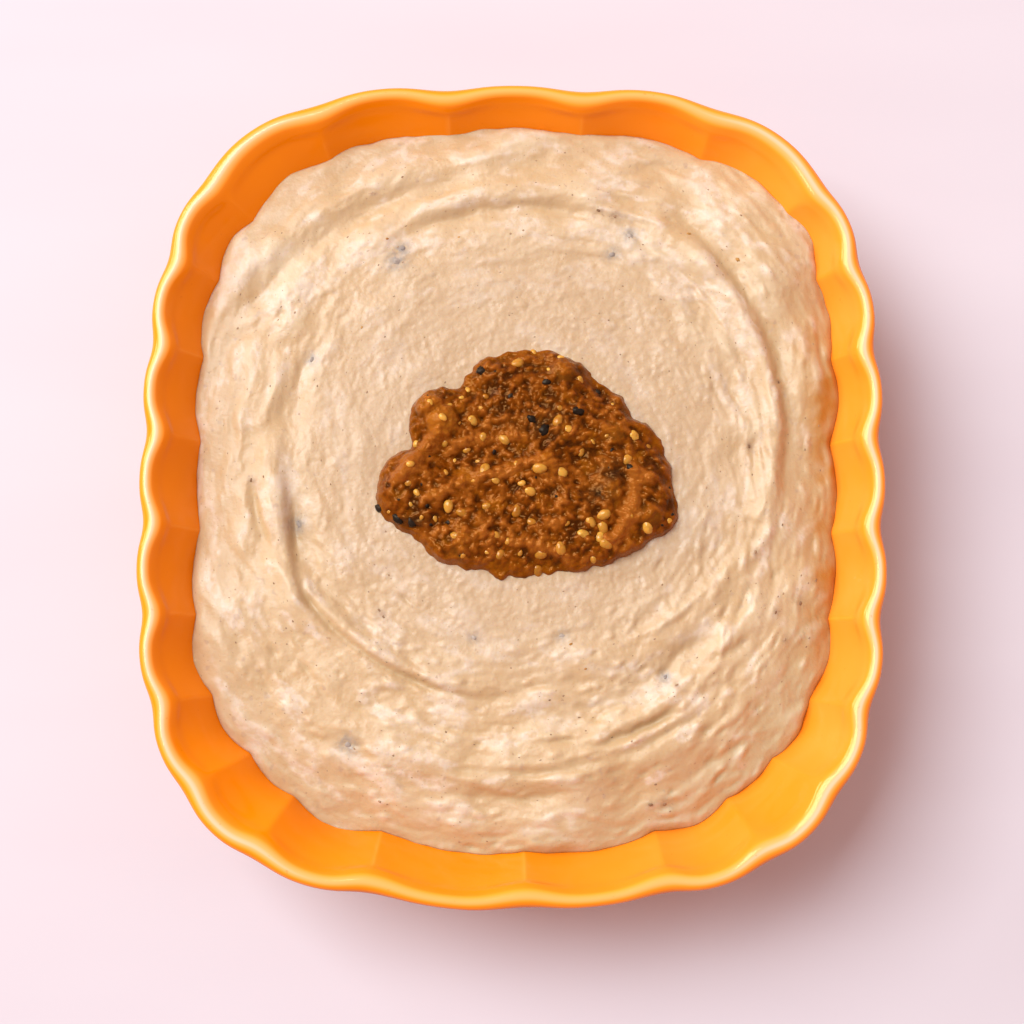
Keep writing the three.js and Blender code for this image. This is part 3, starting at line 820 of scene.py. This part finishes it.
def band_heights(x, y):
    """Raised bands, each measured from the nearest point of its bent line."""
    total = np.zeros_like(x)
    for start, middle, end, width, height in PULP_BANDS:
        nearest = np.full_like(x, np.inf)
        for share in np.linspace(0, 1, BAND_STEPS):
            first = blend(np.array(start), np.array(middle), share)
            second = blend(np.array(middle), np.array(end), share)
            bx, by = blend(first, second, share)
            nearest = np.minimum(nearest, np.hypot(x - bx, y - by))
        total += height * np.exp(-(nearest / width) ** 2)
    return total


def lump_heights(x, y):
    """What the lumps of pulp add to the surface."""
    total = np.zeros_like(x)
    for lx, ly, radius, height in PULP_LUMPS:
        square = ((x - lx) ** 2 + (y - ly) ** 2) / radius ** 2
        total = np.maximum(total, height * np.clip(1 - square, 0, 1) ** LUMP_ROUNDNESS)
    return total


def granules():
    """Grains of pulp strewn over the topping; most are small."""
    rng = np.random.default_rng(RANDOM_SEED + 11)
    (left, near), (right, far) = TOPPING_BOX
    x = rng.uniform(left, right, GRANULE_COUNT)
    y = rng.uniform(near, far, GRANULE_COUNT)
    turn = rng.normal(*GRANULE_TURN, GRANULE_COUNT)
    half_width = blend(*GRANULE_WIDTH, rng.uniform(0, 1, GRANULE_COUNT) ** 2)
    half_length = half_width * rng.uniform(*GRANULE_STRETCH, GRANULE_COUNT)
    height = half_width * rng.uniform(*GRANULE_HEIGHT, GRANULE_COUNT)
    return np.stack([x, y, turn, half_length, half_width, height], axis=1)


GRANULES = stamped(granules(), power=0.9)


def pulp_relief(x, y):
    """The pulp's finer relief: fibres along its own swirl, grains and raised bands."""
    relief = FIBRE_HEIGHT * swept(FIBRES, x, y, FIBRE_SMEAR, TOPPING_SWIRL)
    relief += PULP_HEIGHT * sample(PULP, x, y) + FINE_PULP_HEIGHT * sample(PULP_FINE, x, y)
    return relief + sample(GRANULES, x, y) + band_heights(x, y)


def topping_height(x, y):
    """Height of the topping's surface, whose relief fades at the outline."""
    field = np.clip(ragged_field(x, y) / TOPPING_FULL, 0, 1)
    dome = np.sqrt(field) * TOPPING_HEIGHT
    relief = pulp_relief(x, y) + lump_heights(x, y) + WIDE_HEIGHT * sample(RAGGED_WIDE, x, y)
    return spread_base(x, y) - TOPPING_DIP + dome + smooth(*RELIEF_FADE, field) * relief


def topping_outline():
    """Plan positions of the topping's edge, found by walking inwards from outside at each angle."""
    angle = np.linspace(0, 2 * math.pi, TOPPING_ROUND, endpoint=False)
    reach = np.linspace(TOPPING_REACH, 0, OUTLINE_STEPS)
    x = TOPPING_MIDDLE[0] + reach[:, None] * np.cos(angle)
    y = TOPPING_MIDDLE[1] + reach[:, None] * np.sin(angle)
    inside = ragged_field(x, y) > 0
    first = inside.argmax(axis=0)
    columns = np.arange(TOPPING_ROUND)
    return np.stack([x[first, columns], y[first, columns]], axis=1)


def topping_skin():
    """The topping, with its relief, nearness to its edge, burnt patches and lumps."""
    edge = topping_outline()
    middle = np.array(TOPPING_MIDDLE)
    under = spread_base(edge[:, 0], edge[:, 1]) - TOPPING_SINK
    inner = blend(middle, edge, UNDERSIDE_SHARE)
    rings = [np.column_stack([inner, under]), np.column_stack([edge, under])]
    share = 1 - np.linspace(0, 1, TOPPING_RINGS, endpoint=False)[:, None, None] ** TOPPING_CROWDING
    x, y = np.moveaxis(blend(middle, edge, share), -1, 0)
    rings = np.concatenate([rings, np.stack([x, y, topping_height(x, y)], axis=-1)])
    first = (*TOPPING_MIDDLE, float(under.mean()))
    last = (*TOPPING_MIDDLE, float(rings[-1, :, 2].mean()))
    points, faces = closed_skin(rings, first, last)
    x = points[:, 0]
    y = points[:, 1]
    relief = np.clip(pulp_relief(x, y) / PULP_SPAN + PULP_LOWEST, 0, 1)
    rim = 1 - smooth(*RIM_SPAN, ragged_field(x, y))
    burnt = np.zeros_like(x)
    for bx, by, half_width, half_length in BURNT:
        burnt += np.exp(-((x - bx) / half_width) ** 2 - ((y - by) / half_length) ** 2)
    lump = np.clip(lump_heights(x, y) / LUMP_SPAN, 0, 1)
    return points, faces, {"relief": relief, "rim": rim, "burnt": np.clip(burnt, 0, 1), "lump": lump}


# Seeds, skin flecks and specks

def ball(columns, rows):
    """A unit ball: points and faces."""
    angle = np.linspace(0, 2 * math.pi, columns, endpoint=False)
    rings = []
    for tilt in np.linspace(-math.pi / 2, math.pi / 2, rows + 2)[1:-1]:
        level = np.full(columns, math.sin(tilt))
        rings.append(np.stack([np.cos(angle) * np.cos(tilt), np.sin(angle) * np.cos(tilt), level], axis=1))
    return closed_skin(np.array(rings), (0.0, 0.0, -1.0), (0.0, 0.0, 1.0))


def seed_form(points):
    """A flat aubergine seed: a little narrower and thinner at one end."""
    x, y, z = points.T
    return np.stack([x, y * (1 - SEED_TAPER[0] * x), z * (1 - SEED_TAPER[1] * x)], axis=1)


def rough_form(points, rng, amount):
    """A crumb with uneven faces."""
    lump = 1 + amount * rng.standard_normal(len(points))
    return points * lump[:, None]


def surface_normal(height, x, y):
    slope_x = (height(x + SLOPE_STEP, y) - height(x - SLOPE_STEP, y)) / (2 * SLOPE_STEP)
    slope_y = (height(x, y + SLOPE_STEP) - height(x, y - SLOPE_STEP)) / (2 * SLOPE_STEP)
    normals = np.stack([-slope_x, -slope_y, np.ones_like(x)], axis=1)
    return normals / np.linalg.norm(normals, axis=1, keepdims=True)


def laid_out(height, places, sizes, sink, rng, form, detail, turns=None):
    """Copies of a small form laid on a surface, each turned and tilted with it, as one skin."""
    places = np.array(places, dtype=float)
    x = places[:, 0]
    y = places[:, 1]
    normals = surface_normal(height, x, y)
    normals[:, :2] *= LEAN_SHARE
    level = height(x, y)
    points_all = []
    faces_all = []
    tints = []
    base, faces = ball(*detail)
    for index, size in enumerate(sizes):
        shaped = form(base) * size
        turn = rng.uniform(0, 2 * math.pi) if turns is None else turns[index]
        spin = Matrix.Rotation(turn, 3, "Z")
        lean = Vector((0, 0, 1)).rotation_difference(Vector(normals[index])).to_matrix()
        centre = np.array([x[index], y[index], level[index] - sink * size[2]])
        points_all.append(shaped @ np.array(lean @ spin).T + centre)
        first = index * len(base)
        faces_all.extend([[corner + first for corner in face] for face in faces])
        tints.append(np.full(len(base), rng.uniform()))
    return np.vstack(points_all), faces_all, {"tint": np.concatenate(tints)}


def strewn_places(count, spacing, taken, inside, low, high, rng):
    """Places by chance inside a shape, none nearer to another than the spacing."""
    places = [tuple(place[:2]) for place in taken]
    found = []
    while len(found) < count:
        spot = rng.uniform(low, high)
        near = any(math.hypot(spot[0] - p[0], spot[1] - p[1]) < spacing for p in places)
        if inside(*spot) and not near:
            places.append(tuple(spot))
            found.append(tuple(spot))
    return found


def on_topping(x, y):
    return mound_field(np.array([x]), np.array([y]))[0] > TOPPING_SPOT


def on_spread(x, y):
    out = spread_share(x, y)
    return out < SPECK_EDGE and mound_field(np.array([x]), np.array([y]))[0] < SPECK_GAP


def seeds_skin():
    rng = np.random.default_rng(RANDOM_SEED + 12)
    taken = list(SEED_PLACES) + list(CHAR_PLACES)
    more = strewn_places(SMALL_SEED_COUNT, SEED_SPACING, taken, on_topping, *TOPPING_BOX, rng)
    lengths = rng.uniform(*SEED_LENGTH, len(SEED_PLACES))
    lengths = np.concatenate([lengths, rng.uniform(*SMALL_SEED_LENGTH, len(more))])
    sizes = lengths[:, None] * np.array(SEED_SHAPE)
    return laid_out(topping_height, list(SEED_PLACES) + more, sizes, BURIED, rng, seed_form, SEED_DETAIL)


def char_skin():
    rng = np.random.default_rng(RANDOM_SEED + 13)
    more = strewn_places(SMALL_CHAR_COUNT, CHAR_SPACING, CHAR_PLACES, on_topping, *TOPPING_BOX, rng)
    places = [place[:2] for place in CHAR_PLACES] + more
    lengths = [place[2] for place in CHAR_PLACES]
    lengths = np.concatenate([lengths, rng.uniform(*SMALL_CHAR_LENGTH, len(more))])
    sizes = lengths[:, None] * np.array(CHAR_SHAPE)
    form = partial(rough_form, rng=rng, amount=CHAR_ROUGHNESS)
    return laid_out(topping_height, places, sizes, BURIED, rng, form, CRUMB_DETAIL)


def bits_skin(bits, seed, flatness):
    """Bits of one kind in the spread, lying along the swirl."""
    rng = np.random.default_rng(seed)
    places = [swirl_place(angle, radius) for angle, radius, length in bits]
    turns = [math.radians(angle + 90) + rng.uniform(-BIT_TURN, BIT_TURN) for angle, radius, length in bits]
    lengths = BIT_SHOWN * np.array([length for angle, radius, length in bits])
    sizes = lengths[:, None] * np.array((1.0, BIT_WIDTH, flatness))
    form = partial(rough_form, rng=rng, amount=BIT_ROUGHNESS)
    return laid_out(spread_height, places, sizes, BIT_SINK, rng, form, CRUMB_DETAIL, turns)


def specks_skin():
    rng = np.random.default_rng(RANDOM_SEED + 15)
    places = strewn_places(SPECK_COUNT, SPECK_SPACING, [], on_spread, *SPECK_BOX, rng)
    lengths = blend(*SPECK_SIZE, rng.uniform(0, 1, SPECK_COUNT) ** SPECK_SMALLNESS)
    widths = lengths * rng.uniform(*SPECK_WIDTH, SPECK_COUNT)
    sizes = np.stack([lengths, widths, lengths * SPECK_HEIGHT], axis=1)
    turns = [math.atan2(y - SWIRL_CENTRE[1], x - SWIRL_CENTRE[0]) + math.pi / 2 for x, y in places]
    form = partial(rough_form, rng=rng, amount=SPECK_ROUGHNESS)
    return laid_out(spread_height, places, sizes, BURIED, rng, form, SPECK_DETAIL, turns)


# Materials: the colours are linear.

# Painted light: the glaze is deeper on the shaded left and far side and paler on the lit right and near
# side.
GLAZE_SHADED_SIDE = ((0.86, 0.220, 0.0003), (0.90, 0.240, 0.0006))
GLAZE_LIT_SIDE = ((0.92, 0.240, 0.010), (0.95, 0.280, 0.034))
# A pale crest: thinner glaze with a painted highlight on it.
GLAZE_CREST_AND_HIGHLIGHT = ((0.93, 0.24, 0.005), (0.93, 0.30, 0.025), (0.87, 0.38, 0.12), (0.86, 0.48, 0.30))
# Painted shade on the lip's outside, on the right and near sides.
GLAZE_LEE_SHADE = (0.52, 0.095, 0.0005)
GLAZE_SPECK = (0.70, 0.13, 0.001)
# Tones by relief: painted shade in the hollows, painted light on the tops.
SPREAD_TONES_SHADED_BY_RELIEF = ((0.465, 0.31, 0.16), (0.495, 0.335, 0.185), (0.55, 0.415, 0.265))
# Pale blotches, partly a painted highlight on the raised tops.
SPREAD_PALE_AND_HIGHLIGHT = (0.585, 0.46, 0.345)
SPREAD_TAN = (0.48, 0.31, 0.155)
SPREAD_SPOT = (0.37, 0.25, 0.18)
SPREAD_SPECK = (0.28, 0.155, 0.08)
SPREAD_GREY = (0.23, 0.205, 0.195)
SPREAD_BROWN = (0.27, 0.15, 0.085)
# Painted against the orange light that the lit glaze bounces onto the spread's edge.
SPREAD_BOUNCE_CORRECTION = (0.40, 0.355, 0.21)
# Painted shade on the flat middle.
SPREAD_CENTRE_SHADE = (0.435, 0.298, 0.182)
SPREAD_FILM = (0.40, 0.165, 0.022)
# Tones by relief: painted shade in the crevices, painted light on the tops.
PULP_TONES_SHADED_BY_RELIEF = ((0.045, 0.009, 0.0002), (0.14, 0.030, 0.0005), (0.265, 0.075, 0.008))
PULP_RIM = (0.21, 0.055, 0.001)
PULP_ORANGE = (0.25, 0.070, 0.002)
PULP_LUMP = (0.34, 0.105, 0.008)
PULP_BURNT = (0.022, 0.009, 0.003)
FLOOR_TONES = ((0.55, 0.49, 0.535), (0.58, 0.525, 0.57))
BIT_SHADE = 0.62  # the tone of a bit's spots, as a share of its darker shade
GRAIN_ROUND = (0.1, 0.45)  # how far from its middle a grain starts to fall and ends, in cells
GRAIN_CHANCE = (0.4, 0.8)  # how a cell's random number turns into the height of its grain
MIX_FIRST = 6  # the mix node's sockets for colours
MIX_SECOND = 7
MIX_RESULT = 2


def new_material(name):
    material = bpy.data.materials.new(name)
    material.use_nodes = True
    return material, material.node_tree, material.node_tree.nodes["Principled BSDF"]


def settings(node, **values):
    """Sets a node's sockets by name, with underscores for spaces."""
    for name, value in values.items():
        node.inputs[name.replace("_", " ")].default_value = value


def attribute(tree, name):
    made = tree.nodes.new("ShaderNodeAttribute")
    made.attribute_name = name
    return made.outputs["Fac"]


def noise(tree, size, detail=2.0, roughness=0.5, stretch=(1, 1, 1)):
    """Noise whose blotches are about that many millimetres wide."""
    place = tree.nodes.new("ShaderNodeTexCoord")
    scale = tree.nodes.new("ShaderNodeMapping")
    settings(scale, Scale=stretch)
    made = tree.nodes.new("ShaderNodeTexNoise")
    settings(made, Scale=1 / (size * MM), Detail=detail, Roughness=roughness)
    tree.links.new(place.outputs["Object"], scale.inputs["Vector"])
    tree.links.new(scale.outputs["Vector"], made.inputs["Vector"])
    return made.outputs["Fac"]


def grains(tree, size):
    """Small round lumps by chance, one or none in each cell of that many millimetres."""
    place = tree.nodes.new("ShaderNodeTexCoord")
    made = tree.nodes.new("ShaderNodeTexVoronoi")
    settings(made, Scale=1 / (size * MM))
    tree.links.new(place.outputs["Object"], made.inputs["Vector"])
    lump = span(tree, made.outputs["Distance"], *GRAIN_ROUND, 1.0, 0.0)
    return times(tree, lump, span(tree, made.outputs["Color"], *GRAIN_CHANCE))


def ramp(tree, value, places, colours):
    """Colours by value, each at its place from 0 to 1."""
    made = tree.nodes.new("ShaderNodeValToRGB")
    while len(made.color_ramp.elements) < len(places):
        made.color_ramp.elements.new(0.5)
    for element, place, colour in zip(made.color_ramp.elements, places, colours):
        element.position = place
        element.color = (*colour, 1)
    tree.links.new(value, made.inputs["Fac"])
    return made.outputs["Color"]


def span(tree, value, low, high, start=0.0, end=1.0):
    """A value from low to high carried over to start to end, smoothly and no further."""
    made = tree.nodes.new("ShaderNodeMapRange")
    made.interpolation_type = "SMOOTHSTEP"
    settings(made, From_Min=low, From_Max=high, To_Min=start, To_Max=end)
    tree.links.new(value, made.inputs["Value"])
    return made.outputs["Result"]


def patches(tree, size, detail, low, high, least=0.0, most=1.0):
    """Noise of that size, carried over to least to most while it goes from low to high."""
    return span(tree, noise(tree, size, detail), low, high, least, most)


def times(tree, first, second):
    """The product of two values; the second may be a plain number."""
    made = tree.nodes.new("ShaderNodeMath")
    made.operation = "MULTIPLY"
    tree.links.new(first, made.inputs[0])
    if isinstance(second, float):
        made.inputs[1].default_value = second
    else:
        tree.links.new(second, made.inputs[1])
    return made.outputs["Value"]


def patchy(tree, name, **values):
    """What the skin says at each point under that name, thinned out by patches."""
    return times(tree, attribute(tree, name), patches(tree, **values))


def mixed(tree, share, first, second):
    """Two colours mixed by a share; the second may be a plain linear colour."""
    made = tree.nodes.new("ShaderNodeMix")
    made.data_type = "RGBA"
    tree.links.new(share, made.inputs["Factor"])
    tree.links.new(first, made.inputs[MIX_FIRST])
    if isinstance(second, tuple):
        made.inputs[MIX_SECOND].default_value = (*second, 1)
    else:
        tree.links.new(second, made.inputs[MIX_SECOND])
    return made.outputs[MIX_RESULT]


def bump(tree, surface, value, height, under=None):
    """Fine unevenness of that height in millimetres; under is a bump to lay it on."""
    made = tree.nodes.new("ShaderNodeBump")
    settings(made, Strength=1.0, Distance=height * MM)
    tree.links.new(value, made.inputs["Height"])
    if under is not None:
        tree.links.new(under, made.inputs["Normal"])
    tree.links.new(made.outputs["Normal"], surface.inputs["Normal"])
    return made.outputs["Normal"]


def glaze_material():
    material, tree, surface = new_material("orange_glaze")
    settings(surface, Roughness=0.12, IOR=1.45, Specular_Tint=(1.0, 0.82, 0.46, 1))
    cloud = noise(tree, size=22, detail=3.0)
    # Painted light: deeper on the shaded side, paler on the lit side.
    shaded_side = ramp(tree, cloud, (0.3, 0.7), GLAZE_SHADED_SIDE)
    pale = ramp(tree, cloud, (0.3, 0.7), GLAZE_LIT_SIDE)
    body = mixed(tree, attribute(tree, "run"), shaded_side, pale)
    thin_glaze_and_painted_light = attribute(tree, "thin_glaze_and_painted_light")
    # Pale crest and ridges: thinner glaze with a painted highlight and reflection.
    crest = ramp(tree, thin_glaze_and_painted_light, (0.0, 0.4, 0.85, 1.0), GLAZE_CREST_AND_HIGHLIGHT)
    colour = mixed(tree, span(tree, thin_glaze_and_painted_light, 0.0, 0.4), body, crest)
    # Painted shade on the lip's outside.
    colour = mixed(tree, attribute(tree, "lee_shade"), colour, GLAZE_LEE_SHADE)
    speck = patches(tree, size=1.2, detail=1.0, low=0.74, high=0.8, most=0.25)
    colour = mixed(tree, speck, colour, GLAZE_SPECK)
    tree.links.new(colour, surface.inputs["Base Color"])
    bump(tree, surface, noise(tree, size=9, detail=1.0), 0.10)
    return material


def spread_material():
    material, tree, surface = new_material("aubergine_spread")
    settings(surface, Specular_IOR_Level=0.45, Subsurface_Weight=0.35, Subsurface_Scale=0.0012,
             Subsurface_Radius=(1.0, 0.62, 0.32))
    # Tones by relief: painted shade in the hollows, painted light on the tops.
    colour = ramp(tree, attribute(tree, "relief"), (0.1, 0.45, 0.8), SPREAD_TONES_SHADED_BY_RELIEF)
    # Pale blotches, partly a painted highlight.
    pale = patchy(tree, "pale", size=2.0, detail=2.0, low=0.35, high=0.6, least=0.3)
    colour = mixed(tree, pale, colour, SPREAD_PALE_AND_HIGHLIGHT)
    cloud = noise(tree, size=4.5, detail=1.0)
    colour = mixed(tree, span(tree, cloud, 0.52, 0.75, 0.0, 0.5), colour, SPREAD_TAN)
    spot = patches(tree, size=2.3, detail=1.0, low=0.66, high=0.78, most=0.45)
    colour = mixed(tree, spot, colour, SPREAD_SPOT)
    speck = patches(tree, size=1.0, detail=1.0, low=0.70, high=0.80, most=0.5)
    colour = mixed(tree, speck, colour, SPREAD_SPECK)
    for name, most, stain in (("grey", 0.9, SPREAD_GREY), ("brown", 0.8, SPREAD_BROWN)):
        uneven = patchy(tree, name, size=1.4, detail=2.0, low=0.3, high=0.65, least=0.25, most=most)
        colour = mixed(tree, uneven, colour, stain)
    # Painted against the orange light bounced off the lit glaze.
    colour = mixed(tree, times(tree, attribute(tree, "wall"), 0.5), colour, SPREAD_BOUNCE_CORRECTION)
    # Painted shade on the middle.
    colour = mixed(tree, times(tree, attribute(tree, "middle"), 0.6), colour, SPREAD_CENTRE_SHADE)
    film = patchy(tree, "film", size=6, detail=1.0, low=0.3, high=0.7, least=0.45)
    colour = mixed(tree, film, colour, SPREAD_FILM)
    tree.links.new(colour, surface.inputs["Base Color"])
    tree.links.new(span(tree, cloud, 0.3, 0.7, 0.52, 0.38), surface.inputs["Roughness"])
    bump(tree, surface, noise(tree, size=1.4, detail=2.0, roughness=0.55), 0.15)
    return material


def topping_material():
    material, tree, surface = new_material("roasted_aubergine")
    settings(surface, Specular_IOR_Level=0.34, Specular_Tint=(1.0, 0.45, 0.14, 1), Subsurface_Weight=0.25,
             Subsurface_Scale=0.001, Subsurface_Radius=(1.0, 0.4, 0.12))
    # Tones by relief: painted shade in the crevices, painted light on the tops.
    colour = ramp(tree, attribute(tree, "relief"), (0.1, 0.4, 0.75), PULP_TONES_SHADED_BY_RELIEF)
    rim = patchy(tree, "rim", size=5, detail=2.0, low=0.25, high=0.6, least=0.2, most=0.9)
    colour = mixed(tree, rim, colour, PULP_RIM)
    orange = patches(tree, size=4.5, detail=2.0, low=0.55, high=0.75, most=0.7)
    colour = mixed(tree, orange, colour, PULP_ORANGE)
    colour = mixed(tree, times(tree, attribute(tree, "lump"), 0.6), colour, PULP_LUMP)
    burnt = patchy(tree, "burnt", size=2.4, detail=3.0, low=0.35, high=0.6, least=0.2)
    colour = mixed(tree, burnt, colour, PULP_BURNT)
    tree.links.new(colour, surface.inputs["Base Color"])
    shine = patches(tree, size=3, detail=2.0, low=0.3, high=0.7, least=0.15, most=0.28)
    tree.links.new(shine, surface.inputs["Roughness"])
    coarse = bump(tree, surface, noise(tree, size=0.9, detail=1.0), 0.2)
    bump(tree, surface, grains(tree, size=0.8), 0.05, coarse)
    return material


def bit_material(name, dark, pale, roughness, size, shine=0.12, subsurface=0.0):
    """A small bit whose colour runs between two shades, from one bit to the next and within each."""
    material, tree, surface = new_material(name)
    settings(surface, Roughness=roughness, Specular_IOR_Level=shine, Specular_Tint=(1.0, 0.8, 0.6, 1),
             Subsurface_Weight=subsurface, Subsurface_Scale=0.0006)
    colour = ramp(tree, attribute(tree, "tint"), (0.0, 1.0), (dark, pale))
    spot = patches(tree, size, detail=2.0, low=0.45, high=0.7, most=0.5)
    colour = mixed(tree, spot, colour, tuple(BIT_SHADE * part for part in dark))
    tree.links.new(colour, surface.inputs["Base Color"])
    bump(tree, surface, noise(tree, size, detail=1.0), 0.08)
    return material


def floor_material():
    material, tree, surface = new_material("pale_floor")
    settings(surface, Roughness=0.75, Specular_IOR_Level=0.2)
    cloud = noise(tree, size=60, detail=3.0, stretch=(0.25, 1.0, 1.0))
    tree.links.new(ramp(tree, cloud, (0.3, 0.7), FLOOR_TONES), surface.inputs["Base Color"])
    return material


# Pieces

def added(name, data):
    """A new object of the scene that shows the data."""
    made = bpy.data.objects.new(name, data)
    bpy.context.collection.objects.link(made)
    return made


def new_piece(name, skin, material, replaced=None):
    """A mesh piece of the object that rides on its one body."""
    points, faces, values = skin
    mesh = bpy.data.meshes.new(name)
    mesh.from_pydata((points * MM).tolist(), [], faces)
    for key, numbers in values.items():
        layer = mesh.attributes.new(name=key, type="FLOAT", domain="POINT")
        layer.data.foreach_set("value", numbers.astype(np.float32))
    mesh.shade_smooth()
    mesh.materials.append(material)
    piece = added(name, mesh)
    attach(piece, "root")
    if replaced:
        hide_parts(replaced)
    return piece


new_piece("dish_fine", dish_skin(), glaze_material(), "dish")
new_piece("spread_fine", spread_skin(), spread_material(), "spread")
new_piece("topping_fine", topping_skin(), topping_material(), "topping")
new_piece("aubergine_seeds", seeds_skin(),
          bit_material("seed", dark=(0.34, 0.12, 0.006), pale=(0.60, 0.31, 0.045), roughness=0.22, size=1.6,
                       shine=0.5, subsurface=0.3))
new_piece("burnt_flecks", char_skin(),
          bit_material("burnt_skin", dark=(0.006, 0.004, 0.003), pale=(0.022, 0.014, 0.01), roughness=0.4,
                       size=0.8, shine=0.2))
new_piece("grey_bits", bits_skin(GREY_BITS, RANDOM_SEED + 16, flatness=0.5),
          bit_material("grey_skin", dark=(0.22, 0.185, 0.17), pale=(0.38, 0.31, 0.26), roughness=0.35,
                       size=1.0))
new_piece("orange_bits", bits_skin(ORANGE_BITS, RANDOM_SEED + 17, flatness=0.6),
          bit_material("orange_pulp", dark=(0.34, 0.14, 0.025), pale=(0.47, 0.24, 0.07), roughness=0.4,
                       size=0.8, shine=0.3, subsurface=0.2))
new_piece("dark_bits", bits_skin(DARK_BITS, RANDOM_SEED + 18, flatness=0.4),
          bit_material("dark_skin", dark=(0.20, 0.115, 0.065), pale=(0.34, 0.21, 0.125), roughness=0.45,
                       size=0.8))
new_piece("specks", specks_skin(),
          bit_material("speck", dark=(0.24, 0.14, 0.08), pale=(0.42, 0.27, 0.16), roughness=0.5, size=0.5))


# Floor, light and camera

FLOOR_HALF = 2000.0
CAMERA_PLACE = (0.0, -67.97, 468.3)
CAMERA_TILT = 9.095
CAMERA_ROLL = 0.423
CAMERA_LENS = 63.49
CAMERA_SHIFT = (-0.0004, -0.0309)
CAMERA_NEAR = 10.0
SKY_COLOUR = (1.3, 0.90, 0.80)
SKY_STRENGTH = 0.58


def add_floor():
    corners = [(-FLOOR_HALF, -FLOOR_HALF, 0), (FLOOR_HALF, -FLOOR_HALF, 0), (FLOOR_HALF, FLOOR_HALF, 0),
               (-FLOOR_HALF, FLOOR_HALF, 0)]
    mesh = bpy.data.meshes.new("floor")
    mesh.from_pydata([tuple(value * MM for value in corner) for corner in corners], [], [(0, 1, 2, 3)])
    mesh.materials.append(floor_material())
    floor = added("floor", mesh)


def add_softbox(name, place, aim, width, length, power, colour):
    light = bpy.data.lights.new(name, "AREA")
    light.shape = "RECTANGLE"
    light.size = width * MM
    light.size_y = length * MM
    light.energy = power
    light.color = colour
    box = added(name, light)
    box.location = Vector(place) * MM
    box.rotation_euler = (Vector(aim) - Vector(place)).to_track_quat("-Z", "Y").to_euler()


def add_camera():
    lens = bpy.data.cameras.new("camera")
    lens.lens = CAMERA_LENS
    lens.shift_x, lens.shift_y = CAMERA_SHIFT
    lens.clip_start = CAMERA_NEAR * MM
    camera = added("camera", lens)
    tilt = Matrix.Rotation(math.radians(CAMERA_TILT), 4, "X")
    roll = Matrix.Rotation(math.radians(CAMERA_ROLL), 4, "Z")
    camera.matrix_world = Matrix.Translation(Vector(CAMERA_PLACE) * MM) @ tilt @ roll
    bpy.context.scene.camera = camera


add_floor()
add_softbox("key", place=(-1520, 920, 2760), aim=(0, 0, 30), width=1950, length=1950, power=140,
            colour=(0.86, 0.97, 1.0))
add_softbox("window", place=(-2050, 1150, 950), aim=(0, 0, 40), width=1200, length=700, power=26,
            colour=(1.0, 0.97, 0.92))
add_camera()

world = bpy.data.worlds.new("studio")
world.use_nodes = True
sky = world.node_tree.nodes["Background"]
settings(sky, Color=(*SKY_COLOUR, 1), Strength=SKY_STRENGTH)
bpy.context.scene.world = world
bpy.context.scene.view_settings.view_transform = "Standard"
